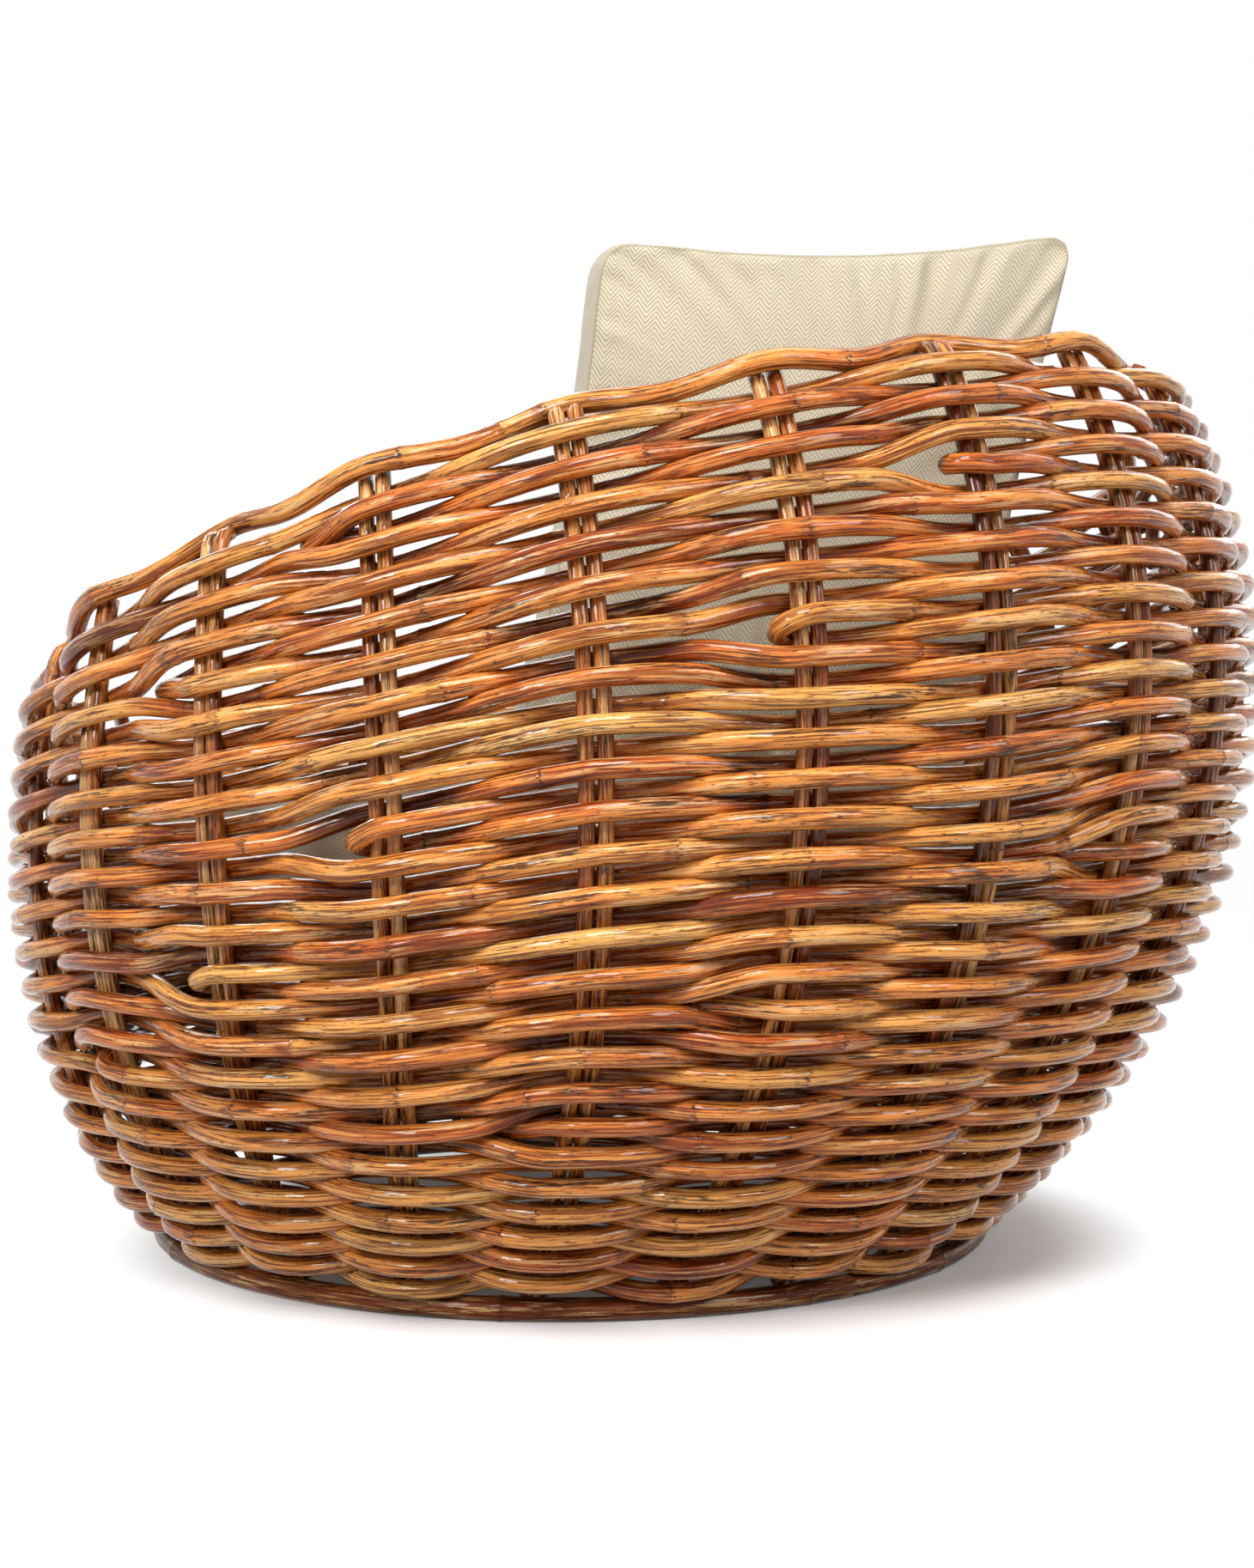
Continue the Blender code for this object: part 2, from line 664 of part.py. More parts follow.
def build_chair():
    clear_scene()
    lines = [StakeLine(pair) for pair in range(STAKE_PAIRS)]
    weave = Weave(lines)
    build_long_strands(weave)
    build_short_strands(weave)
    build_border(weave)
    build_stakes(weave)
    build_foot_hoop(lines)
    centre = build_deck()
    seat_base = build_seat_cushion(centre)
    build_back_cushion(seat_base)
    pitches = [line.length / (weave.turns + weave.short_rows(pair, weave.turns + 1))
               for pair, line in enumerate(lines)]
    print(f"turns {weave.turns}, short strands {weave.short_count} {weave.short}")
    print(f"row pitch {min(pitches) * 1000:.2f} to {max(pitches) * 1000:.2f} mm, "
          f"row height {2 * WEAVER_HALF_HEIGHT * 1000:.2f} mm, wall depth {WALL_DEPTH * 1000:.2f} mm")
    print("sub-parts:", sum(1 for obj in bpy.data.objects if not obj.hide_render))


build_chair()
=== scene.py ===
# %% [markdown]
# # A woven rattan nest chair
#
# The chair is a wide, low bowl of whole rattan cane that stands on its own foot. Its rim slants: high at
# the back, low at the front. Pairs of upright canes, the stakes, carry the wall. Long canes, the weavers,
# spiral up round them, outside one pair and inside the next. A round seat cushion lies on a hidden deck,
# and a square back cushion leans over the rim.
#
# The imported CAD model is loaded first. It is the fixed frame: every piece made here stands in the place of
# one of its solids, so nothing has to be fitted by eye.

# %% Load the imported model
import math

import bmesh
import bpy
import numpy as np
from mathutils import Matrix, Vector


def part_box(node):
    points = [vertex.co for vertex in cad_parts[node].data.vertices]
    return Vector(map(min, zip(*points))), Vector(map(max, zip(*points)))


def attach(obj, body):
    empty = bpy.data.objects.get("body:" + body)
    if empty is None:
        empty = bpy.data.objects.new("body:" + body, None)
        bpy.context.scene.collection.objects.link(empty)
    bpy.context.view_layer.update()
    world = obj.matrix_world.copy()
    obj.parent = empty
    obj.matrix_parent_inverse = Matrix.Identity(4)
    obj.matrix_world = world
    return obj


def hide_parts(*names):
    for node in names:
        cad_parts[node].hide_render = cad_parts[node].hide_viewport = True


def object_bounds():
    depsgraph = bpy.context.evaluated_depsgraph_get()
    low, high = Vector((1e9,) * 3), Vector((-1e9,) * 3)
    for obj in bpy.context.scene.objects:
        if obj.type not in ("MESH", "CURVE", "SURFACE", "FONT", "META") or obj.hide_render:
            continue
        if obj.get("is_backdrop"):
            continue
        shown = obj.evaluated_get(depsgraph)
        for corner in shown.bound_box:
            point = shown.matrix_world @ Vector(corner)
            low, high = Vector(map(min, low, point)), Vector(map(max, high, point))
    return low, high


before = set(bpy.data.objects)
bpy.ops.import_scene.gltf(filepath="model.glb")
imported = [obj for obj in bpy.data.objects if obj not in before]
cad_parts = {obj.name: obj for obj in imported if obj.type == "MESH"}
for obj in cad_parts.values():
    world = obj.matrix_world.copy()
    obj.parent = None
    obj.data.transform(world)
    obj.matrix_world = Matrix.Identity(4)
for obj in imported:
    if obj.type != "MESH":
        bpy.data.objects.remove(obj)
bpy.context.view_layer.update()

# %% [markdown]
# ## Camera, floor and light
#
# The photograph was taken level, about two metres from the chair, from its side and a little behind. The
# camera comes first, because every later choice is judged through it. The lens is worked out from the
# picture: the chair's width and the way near canes look thicker than far ones give the distance and the
# field of view.

# %% Camera
CAMERA_AZIMUTH = math.radians(120.0)
CAMERA_DISTANCE = 2.04
CAMERA_HEIGHT = 0.433
CAMERA_SHIFT = -0.012
FOCAL_PIXELS = 2418.0
PICTURE = (1460, 1826)
SENSOR_WIDTH = 36.0

camera_data = bpy.data.cameras.new("camera")
camera_data.sensor_width = SENSOR_WIDTH
camera_data.lens = FOCAL_PIXELS / max(PICTURE) * SENSOR_WIDTH
camera = bpy.data.objects.new("camera", camera_data)
bpy.context.scene.collection.objects.link(camera)
toward_camera = Vector((math.sin(CAMERA_AZIMUTH), -math.cos(CAMERA_AZIMUTH), 0.0))
camera.location = toward_camera * CAMERA_DISTANCE + Vector((0.0, CAMERA_SHIFT, CAMERA_HEIGHT))
camera.rotation_euler = (math.radians(90.0), 0.0, CAMERA_AZIMUTH)
bpy.context.scene.camera = camera
bpy.context.scene.view_settings.view_transform = "Standard"
print("lens, mm:", round(camera_data.lens, 1))

# %% [markdown]
# Colours are written the way a designer reads them, as sRGB hex values, and one function turns them into
# the linear values that Blender works with. A second function adds a shader node with its settings, values
# and links, so that each material below reads as a short recipe. A third says how strongly patterns meet:
# wood, stains and cloth all come from soft steps through a pattern, multiplied with each other.

# %% Helpers for colours and nodes
def colour(hex_value):
    """sRGB hex, such as C8965A, to linear red, green, blue and alpha."""
    channels = [int(hex_value[i:i + 2], 16) / 255 for i in (0, 2, 4)]
    linear = [c / 12.92 if c <= 0.04045 else ((c + 0.055) / 1.055) ** 2.4 for c in channels]
    return (*linear, 1.0)


def node(tree, kind, values=None, links=None, **settings):
    """Add one shader node: settings are its properties, values its sockets' numbers, links what feeds them.

    A link comes from a socket, or from a node, whose first output in use is then meant.
    """
    made = tree.nodes.new("ShaderNode" + kind)
    for name, value in settings.items():
        setattr(made, name, value)
    for socket, value in (values or {}).items():
        made.inputs[socket].default_value = value
    for socket, source in (links or {}).items():
        if isinstance(source, bpy.types.Node):
            source = next(output for output in source.outputs if output.enabled)
        tree.links.new(source, made.inputs[socket])
    return made


def meet(tree, *patterns):
    """How strongly patterns meet.

    Each pattern goes softly from its first strength, at its start, to its second, at its end.
    """
    together = None
    for pattern, start, end, first, second in patterns:
        strength = node(tree, "MapRange", interpolation_type="SMOOTHSTEP", links={"Value": pattern},
                        values={"From Min": start, "From Max": end, "To Min": first, "To Max": second})
        if together is None:
            together = strength
        else:
            together = node(tree, "Math", links={0: together, 1: strength}, operation="MULTIPLY")
    return together


def new_material(name):
    """Empty material: its tree, its shader and its output socket."""
    made = bpy.data.materials.new(name)
    made.use_nodes = True
    made.node_tree.nodes.clear()
    output = node(made.node_tree, "OutputMaterial")
    return made, made.node_tree, output.inputs["Surface"]


print("mid grey 808080 in linear light:", round(colour("808080")[0], 3))

# %% [markdown]
# The background is pure white. More light would bleach the cane, so the floor and the world turn white for
# the camera's own rays, through Light Path. Under and near the chair the floor keeps its real shading, so
# the shadow shows and the bowl looks dark inside; further out it passes into the white. What gloss and
# glass would show is white too. For every other ray the floor is plain white paint and the world a dim,
# even glow.

# %% Floor and world
WHITE = (1.0, 1.0, 1.0, 1.0)
FLOOR_SIZE = 30.0
SHADED_RADIUS = 0.38
WHITE_RADIUS = 0.52


def seen_directly(tree):
    """1 for the camera's rays and for what gloss and glass show, 0 for the rays that light the chair."""
    path = node(tree, "LightPath")
    mirrored = node(tree, "Math", operation="MAXIMUM",
                    links={0: path.outputs["Is Glossy Ray"], 1: path.outputs["Is Transmission Ray"]})
    return node(tree, "Math", links={0: path.outputs["Is Camera Ray"], 1: mirrored}, operation="MAXIMUM")


bpy.ops.object.select_all(action="DESELECT")
bpy.ops.mesh.primitive_plane_add(size=FLOOR_SIZE, location=(0.0, 0.0, 0.0))
floor = bpy.context.active_object
floor.name = "floor"
floor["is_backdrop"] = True

studio_floor, tree, surface = new_material("white_painted_floor")
paint = node(tree, "BsdfDiffuse", {"Color": colour("C4C4C4")})
place = node(tree, "TexCoord").outputs["Object"]
reach = node(tree, "VectorMath", links={0: place}, operation="LENGTH")
far = meet(tree, (reach, SHADED_RADIUS, WHITE_RADIUS, 0.0, 1.0))
strength = node(tree, "MapRange", {"To Min": 0.05, "To Max": 0.97}, {"Value": far})
glow = node(tree, "Emission", {"Color": WHITE}, {"Strength": strength})
whiteness = node(tree, "Mix", {6: colour("EFEFEF"), 7: colour("6C6C6C")}, {0: far}, data_type="RGBA")
shade = node(tree, "BsdfDiffuse", links={"Color": whiteness})
seen = node(tree, "AddShader", links={0: glow, 1: shade})
mix = node(tree, "MixShader", links={0: seen_directly(tree), 1: paint, 2: seen})
tree.links.new(mix.outputs[0], surface)
floor.data.materials.append(studio_floor)

world = bpy.data.worlds.new("studio")
bpy.context.scene.world = world
world.use_nodes = True
tree = world.node_tree
tree.nodes.clear()
dim = node(tree, "Background", {"Color": WHITE, "Strength": 0.10})
bright = node(tree, "Background", {"Color": WHITE, "Strength": 1.0})
mix = node(tree, "MixShader", links={0: seen_directly(tree), 1: dim, 2: bright})
node(tree, "OutputWorld", links={"Surface": mix})
print("floor shaded within", SHADED_RADIUS, "m, white from", WHITE_RADIUS, "m")

# %% [markdown]
# The varnish shows two kinds of highlight: a thin white streak along the top of every weaver, and one down
# the left of each stake. The first asks for a soft box above, the second for one beside the camera on the
# left. A third, weaker one fills the right side, and two large ones light the side that the photograph
# doesn't show.

# %% Soft boxes
AIM_HEIGHT = 0.4


def soft_box(name, azimuth, elevation, distance, size, watts):
    """Square area lamp that looks at the middle of the chair."""
    lamp = bpy.data.lights.new(name, "AREA")
    lamp.size = size
    lamp.energy = watts
    made = bpy.data.objects.new(name, lamp)
    bpy.context.scene.collection.objects.link(made)
    a = math.radians(azimuth)
    e = math.radians(elevation)
    away = Vector((math.sin(a) * math.cos(e), -math.cos(a) * math.cos(e), math.sin(e)))
    made.location = away * distance + Vector((0.0, 0.0, AIM_HEIGHT))
    made.rotation_euler = away.to_track_quat("Z", "Y").to_euler()


soft_box("soft_box_above", azimuth=116.0, elevation=45.0, distance=2.8, size=0.9, watts=58.0)
soft_box("soft_box_left", azimuth=86.0, elevation=20.0, distance=3.0, size=0.7, watts=42.0)
soft_box("soft_box_right", azimuth=164.0, elevation=24.0, distance=3.2, size=1.0, watts=36.0)
soft_box("soft_box_behind_left", azimuth=330.0, elevation=38.0, distance=3.2, size=1.8, watts=34.0)
soft_box("soft_box_behind_right", azimuth=252.0, elevation=34.0, distance=3.2, size=1.8, watts=26.0)
print("soft boxes:", len(bpy.data.lights))

# %% [markdown]
# ## Where the wall is
#
# The wall is a sphere cut by rings. At the foot the rings lie level; as they climb they tip up towards the
# back, which gives the slanting rim. The same few sizes made the CAD solids. Here they place smooth round
# canes instead of faceted ones. Arrays are used, because some 150 metres of cane need a great many points.

# %% The wall
BELLY_RADIUS = 0.600
BELLY_HEIGHT = 0.447
RIM_RISE = 0.184
RIM_TILT = math.radians(15.8)
TILT_GROWTH = 0.8
RIM_SADDLE = 0.003
FOOT_OFFSET = -0.074
BELLY_OFFSET = -0.005
RIM_OFFSET = -0.025
FOOT_HOOP_DIAMETER = 0.020
FOOT_ROW_RISE = 0.0095
WALL_DEPTH = 0.02426  # the middle of the woven wall, inside its outer face
STAKE_DEPTH = 0.0224
PAIRS = 23
BACK_PAIR = (PAIRS - 1) // 2
PAIR_ANGLE = 2 * math.pi / PAIRS
RIM_LATITUDE = math.asin(RIM_RISE / BELLY_RADIUS)
FIRST_ROW = FOOT_HOOP_DIAMETER + FOOT_ROW_RISE
FOOT_LATITUDE = math.asin((FIRST_ROW - BELLY_HEIGHT) / (BELLY_RADIUS - WALL_DEPTH))


def wall(angle, v, depth):
    """Points `depth` inside the outer face, and the outward normals there.

    angle is measured from the back towards +X; v runs from 0 at the foot to 1 at the rim.
    """
    angle, v, depth = np.broadcast_arrays(angle, v, depth)
    latitude = FOOT_LATITUDE + (RIM_LATITUDE - FOOT_LATITUDE) * v
    tilt = RIM_TILT * np.clip(v, 0.0, None) ** TILT_GROWTH
    zero = np.zeros_like(tilt)
    to_back = np.stack([zero, np.cos(tilt), np.sin(tilt)], -1)
    axis = np.stack([zero, -np.sin(tilt), np.cos(tilt)], -1)
    radial = to_back * np.cos(angle)[..., None] + np.stack([np.sin(angle), zero, zero], -1)
    normal = radial * np.cos(latitude)[..., None] + axis * np.sin(latitude)[..., None]
    # One parabola through the offsets at the foot, the belly and the rim
    foot = FOOT_OFFSET * (1 - v) * (1 - 2 * v)
    offset = foot + BELLY_OFFSET * 4 * v * (1 - v) + RIM_OFFSET * v * (2 * v - 1)
    height = BELLY_HEIGHT + BELLY_RADIUS * np.sin(latitude) + RIM_SADDLE * np.cos(2 * angle) * v * v
    centre = np.stack([zero, offset, height], -1)
    return centre + radial * (BELLY_RADIUS * np.cos(latitude))[..., None] - normal * depth[..., None], normal


print("latitudes of foot and rim:", [round(math.degrees(x), 1) for x in (FOOT_LATITUDE, RIM_LATITUDE)])

# %% [markdown]
# A row of weaving is placed by its share of the wall's height, measured along the stakes, because that is
# how a weaver packs rows: evenly along the stake, more of them where the stake is longer. A table turns a
# share back into the sphere's own coordinate at any angle.

# %% Height along the stakes
TABLE_ANGLES = PAIRS * 12
TABLE_HEIGHTS = 121
TABLE_SHARES = 161
FOOT_PRESS = 0.009
FOOT_PRESS_REACH = 0.03
SLIDE_RANGE = (-0.45, 0.50)

fine_v = np.linspace(0.0, 1.0, TABLE_HEIGHTS)
table_angle = np.arange(TABLE_ANGLES + 1) * 2 * math.pi / TABLE_ANGLES
points, _ = wall(table_angle[:, None], fine_v[None, :], WALL_DEPTH)
steps = np.linalg.norm(np.diff(points, axis=1), axis=2)
lengths = np.concatenate([np.zeros((len(table_angle), 1)), np.cumsum(steps, axis=1)], axis=1)
fine_share = np.linspace(0.0, 1.0, TABLE_SHARES)
v_of_share = np.stack([np.interp(fine_share * row[-1], row, fine_v) for row in lengths])
stake_length = lengths[:, -1]


def v_at(angle, share):
    """The sphere's coordinate at a share of the height of the wall; past the rim it carries on."""
    column = (np.asarray(angle) % (2 * math.pi)) / (2 * math.pi) * TABLE_ANGLES
    left = np.minimum(column.astype(int), TABLE_ANGLES - 1)
    row = np.clip(share, 0.0, 1.0) * (len(fine_share) - 1)
    low = np.minimum(row.astype(int), len(fine_share) - 2)
    a = column - left
    b = row - low
    near = v_of_share[left, low] * (1 - b) + v_of_share[left, low + 1] * b
    far = v_of_share[left + 1, low] * (1 - b) + v_of_share[left + 1, low + 1] * b
    beyond = np.maximum(share - 1.0, 0.0) + np.minimum(share, 0.0)
    return near * (1 - a) + far * a + beyond


def woven(angle, share, swing):
    """Points and normals of a cane at a share of the height, `swing` metres outside the stakes' centre.

    A cane swings in and out in the plane of its own row. Where the wall slopes, the stretch outside the
    stakes so lies lower on them, or higher below the belly, than it would straight across the wall. The
    lowest rows are beaten down onto the hoop.
    """
    share = share - FOOT_PRESS * np.exp(-share / FOOT_PRESS_REACH)
    v = v_at(angle, share)
    latitude = FOOT_LATITUDE + (RIM_LATITUDE - FOOT_LATITUDE) * v
    slide = swing * np.clip(-np.tan(latitude), *SLIDE_RANGE)
    length = np.interp(np.asarray(angle) % (2 * math.pi), table_angle, stake_length)
    return wall(angle, v_at(angle, share + slide / length), STAKE_DEPTH - swing)


print("wall along the back and front stakes, m:", round(stake_length[0], 3), round(min(stake_length), 3))

# %% [markdown]
# ## The rows
#
# The spiral of long weavers makes 32 turns. An odd number of pairs makes each turn pass outside where the
# turn below passes inside. The back of the wall is longer than the front, so twelve short weavers cross
# only the back, turn round their last pair and come back one row higher.

# %% Counting the rows
TURNS = 32
STEP_UP_PAIRS = 4
# Each short weaver lies over a turn of the spiral and reaches so many pairs to each side of the back
SHORT = [(7, 9), (9, 4), (11, 7), (13, 3), (15, 6), (17, 1),
         (20, 5), (22, 8), (24, 3), (26, 6), (28, 2), (30, 5)]
ROOM_PAIRS = 2         # its room closes over two pairs past its last one
CANE_END = 0.10        # but the cane itself ends a tenth of a pair past it
SHARP_CLOSING = 0.50   # pairs over which the nearest rows close up
SOFT_CLOSING = 1.4     # and those further off
SHARP_ROWS = 2.2       # rows over which the sharp bend fades
SOFT_ROWS = 7
MIDDLE_ROWS = 0.4      # nearer to the short weaver's middle than this, a row moves less


def room(pair, reach):
    """How much of its two rows a short weaver still holds open at a pair."""
    return np.clip(1 - (np.abs(pair - BACK_PAIR) - reach) / ROOM_PAIRS, 0.0, 1.0)


def filled(pair, reach, closing):
    """How much of the two rows is filled, where the rows beside them close up over so many pairs."""
    end = np.clip((np.abs(pair - BACK_PAIR) - reach - CANE_END) / closing, 0.0, 1.0)
    return 1 - end * end * (3 - 2 * end)


def rows_under(pair, below_turn):
    """Rows that short weavers take up at a pair under the given turn."""
    rows = np.zeros_like(pair)
    for turn, reach in SHORT:
        if turn < below_turn:
            rows = rows + 2 * room(pair, reach)
    return rows


def share_of(row, pair):
    """Share of the wall's height of a row, after its neighbours have closed up past each turn-back.

    The gap that would stay open there is shared out: the rows above it sink and the rows below it rise. Those
    next to it bend sharply, and those further off softly and little.
    """
    moved = np.zeros_like(row)
    for turn, reach in SHORT:
        held = room(pair, reach)
        away = row - (turn + 0.5 + rows_under(pair, turn) + held)
        rows_off = np.maximum(np.abs(away) - 1, 0.0)
        near = np.exp(-rows_off / SHARP_ROWS)
        far = np.exp(-rows_off / SOFT_ROWS) - near
        sharp = near * (held - filled(pair, reach, SHARP_CLOSING))
        soft = far * (held - filled(pair, reach, SOFT_CLOSING))
        moved -= np.clip(away / MIDDLE_ROWS, -1.0, 1.0) * (sharp + soft)
    return (row + moved + 0.5) / (TURNS + rows_under(pair, TURNS + 1))


def long_share(crossing):
    """Height of the long spiral; crossings count the pairs that it has passed, also in between."""
    crossing = np.asarray(crossing, float)
    turn = np.floor(crossing / PAIRS)
    pair = crossing - turn * PAIRS
    climb = np.maximum(0.0, pair - (PAIRS - STEP_UP_PAIRS)) / STEP_UP_PAIRS
    share = np.empty_like(crossing)
    for one in np.unique(turn):
        here = turn == one
        share[here] = share_of(one + climb[here] + rows_under(pair[here], one), pair[here])
    return share


def side_of(crossing):
    """1 outside the pair, -1 inside it."""
    return 1 if (crossing + TURNS) % 2 == 0 else -1


counts = TURNS + rows_under(np.arange(PAIRS, dtype=float), TURNS + 1)
print("rows at the front and back:", counts[0], counts[BACK_PAIR])

# %% [markdown]
# ## One cane
#
# Every weaver, stake and pole is the same thing: a cane, swept along a path. A bevelled curve would give
# the shape, but not what makes rattan look like rattan: the collars where leaves grew, each with a slight
# swelling and a sharp ring, and a surface that knows how far along its own length it lies. So the sweep is
# written here. Each point keeps three facts for the material: its place in the cane's own space, in real
# metres; the tone of its cane, which changes a little at each collar and also carries painted shade where a
# weaver lies inside the stakes; and its distance from the nearest collar.

# %% Sweeping a cane along a path
SIDES = 12
RING_SPACING = 0.009
COLLAR_RINGS = (-0.006, -0.0025, -0.0012, -0.0004, 0.0004, 0.0012, 0.003, 0.007)
LEAST_SPACING = 0.0003
END_BULGE = 0.0015
LATTICE = 4096
# Swelling as a share of the radius: at a collar with its reach, and along the whole cane with its wavelength
COLLAR_SWELLINGS = ((0.065, 0.008), (0.030, 0.0012))
UNEVENNESS = ((0.020, 0.05), (0.025, 0.4))
TONE_SPREAD = 0.10
# Each cane reads the patterns at one of so many places, so many metres apart
PATTERN_PLACES = 977
PATTERN_STEP = 7.3


def smooth_noise(seed, positions):
    """Repeatable soft noise between -1 and 1 along a line."""
    lattice = np.random.RandomState(seed).uniform(-1.0, 1.0, LATTICE)
    base = np.floor(positions).astype(int)
    f = positions - base
    f = f * f * (3 - 2 * f)
    return lattice[base % LATTICE] * (1 - f) + lattice[(base + 1) % LATTICE] * f


def collar_places(random, length):
    """Where the collars of one cane are: 18 to 42 cm apart."""
    places = []
    at = random.uniform(-0.20, 0.20)
    while at < length + 0.2:
        places.append(at)
        at += random.uniform(0.18, 0.42)
    return np.array(places)


def directions_along(centre, reference):
    """Directions along a path and both ways across it; those across turn as little as they can."""
    tangent = np.gradient(centre, axis=0)
    tangent /= np.linalg.norm(tangent, axis=1)[:, None]
    across = np.empty_like(centre)
    current = np.array(reference, float)
    for i, direction in enumerate(tangent):
        current = current - direction * current.dot(direction)
        current /= np.linalg.norm(current)
        across[i] = current
    return tangent, across, np.cross(tangent, across)


def tube_faces(count):
    """Faces of a tube of so many rings, each end closed by a fan round one more point."""
    ring = np.arange(count - 1)[:, None] * SIDES
    here = ring + np.arange(SIDES)
    beside = ring + (np.arange(SIDES) + 1) % SIDES
    faces = np.stack([here, beside, beside + SIDES, here + SIDES], -1).reshape(-1, 4).tolist()
    pole = count * SIDES
    last = pole - SIDES
    for k in range(SIDES):
        n = (k + 1) % SIDES
        faces.append([n, k, pole])
        faces.append([last + k, last + n, pole + 1])
    return faces


def sweep_cane(points, reference, radius, seed, tone, spacing=RING_SPACING, painted_shade=None):
    """A cane along dense points: vertices, faces and the three facts for the material.

    The last argument, where given, is painted shade: how much darker the cane is painted at each of the
    points.
    """
    random = np.random.RandomState(seed)
    steps = np.linalg.norm(np.diff(points, axis=0), axis=1)
    along = np.concatenate([[0.0], np.cumsum(steps)])
    length = along[-1]
    collars = collar_places(random, length)
    at = list(np.linspace(0.0, length, max(int(length / spacing), 2) + 1))
    for collar in collars:
        at += [collar + d for d in COLLAR_RINGS]
    at = np.unique(np.clip(np.array(at), 0.0, length))
    at = at[np.concatenate([[True], np.diff(at) > LEAST_SPACING])]
    centre = np.stack([np.interp(at, along, points[:, i]) for i in range(3)], -1)
    tangent, across, other = directions_along(centre, reference)

    gap = at[:, None] - collars[None, :]
    nearest = gap[np.arange(len(at)), np.abs(gap).argmin(1)]
    swell = sum(share * np.exp(-(nearest / reach) ** 2) for share, reach in COLLAR_SWELLINGS)
    swell += sum(share * smooth_noise(seed + 1 + k, at / wave) for k, (share, wave) in enumerate(UNEVENNESS))
    ring_radius = radius * (1.0 + swell)

    turn = np.arange(SIDES) * 2 * math.pi / SIDES
    cosine = np.cos(turn)
    sine = np.sin(turn)
    ring = across[:, None, :] * cosine[None, :, None] + other[:, None, :] * sine[None, :, None]
    verts = centre[:, None, :] + ring * ring_radius[:, None, None]
    far_along = at[:, None] + PATTERN_STEP * (seed % PATTERN_PLACES)
    space = np.stack(np.broadcast_arrays(radius * cosine[None, :], radius * sine[None, :], far_along), -1)
    facts = np.broadcast_to(nearest[:, None], space.shape[:2])
    joint_tone = tone + random.normal(0.0, TONE_SPREAD, len(collars) + 1)
    tones = joint_tone[np.searchsorted(collars, at)]
    # Painted shade, where given, darkens the tone point by point
    if painted_shade is not None:
        tones = tones + np.interp(at, along, painted_shade)
    tones = np.repeat(np.clip(tones, 0.02, 0.98), SIDES)

    # The two ends are rounded off by one point each
    ends = [0, (len(at) - 1) * SIDES]
    poles = np.stack([centre[0] - tangent[0] * END_BULGE, centre[-1] + tangent[-1] * END_BULGE])
    space = space.reshape(-1, 3)
    facts = facts.reshape(-1)
    return (np.concatenate([verts.reshape(-1, 3), poles]),
            tube_faces(len(at)),
            np.concatenate([space, space[ends] * (0.0, 0.0, 1.0)]),
            np.concatenate([facts, facts[ends]]),
            np.concatenate([tones, tones[ends]]))


print("a cane has", SIDES, "sides, and", len(COLLAR_RINGS), "extra rings at each collar")

# %% [markdown]
# A finished piece may hold several canes, butted end to end where a pair of stakes hides the joint, as on
# the real wall. They go into one mesh that takes the place of one CAD node.

# %% From canes to a finished piece
# Name, kind and place in the cane of each fact that the material reads
FACTS = (("cane_space", "FLOAT_VECTOR", 2), ("collar_gap", "FLOAT", 3), ("tone", "FLOAT", 4))


def add_piece(name, canes, finish):
    """Put canes into one mesh that stands for the CAD node of the same name."""
    verts = []
    faces = []
    start = 0
    for cane in canes:
        verts.append(cane[0])
        faces += [[i + start for i in face] for face in cane[1]]
        start += len(cane[0])
    mesh = bpy.data.meshes.new(name + "_cane")
    mesh.from_pydata(np.concatenate(verts).tolist(), [], faces)
    mesh.validate()
    for label, kind, place in FACTS:
        values = np.concatenate([cane[place] for cane in canes]).astype(np.float32)
        attribute = mesh.attributes.new(label, kind, "POINT")
        attribute.data.foreach_set("vector" if kind == "FLOAT_VECTOR" else "value", values.ravel())
    mesh.shade_smooth()
    mesh.materials.append(finish)
    piece = bpy.data.objects.new(name + "_cane", mesh)
    bpy.context.scene.collection.objects.link(piece)
    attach(piece, "basket")
    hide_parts(name)


print("facts for the material:", [label for label, _, _ in FACTS])

# %% [markdown]
# ## Varnished rattan
#
# Whole rattan cane is straw to red brown under a clear, glossy varnish. Its skin has fine lengthwise
# fibres, short dark pores, stained and scorched stretches, and places where the skin has peeled to pale
# wood. Each collar is a sharp dark ring with a ragged, striped scar beside it. All of this follows the
# cane, so every pattern reads the cane's own space, in metres. Each pattern gives the strength of one layer
# of paint.

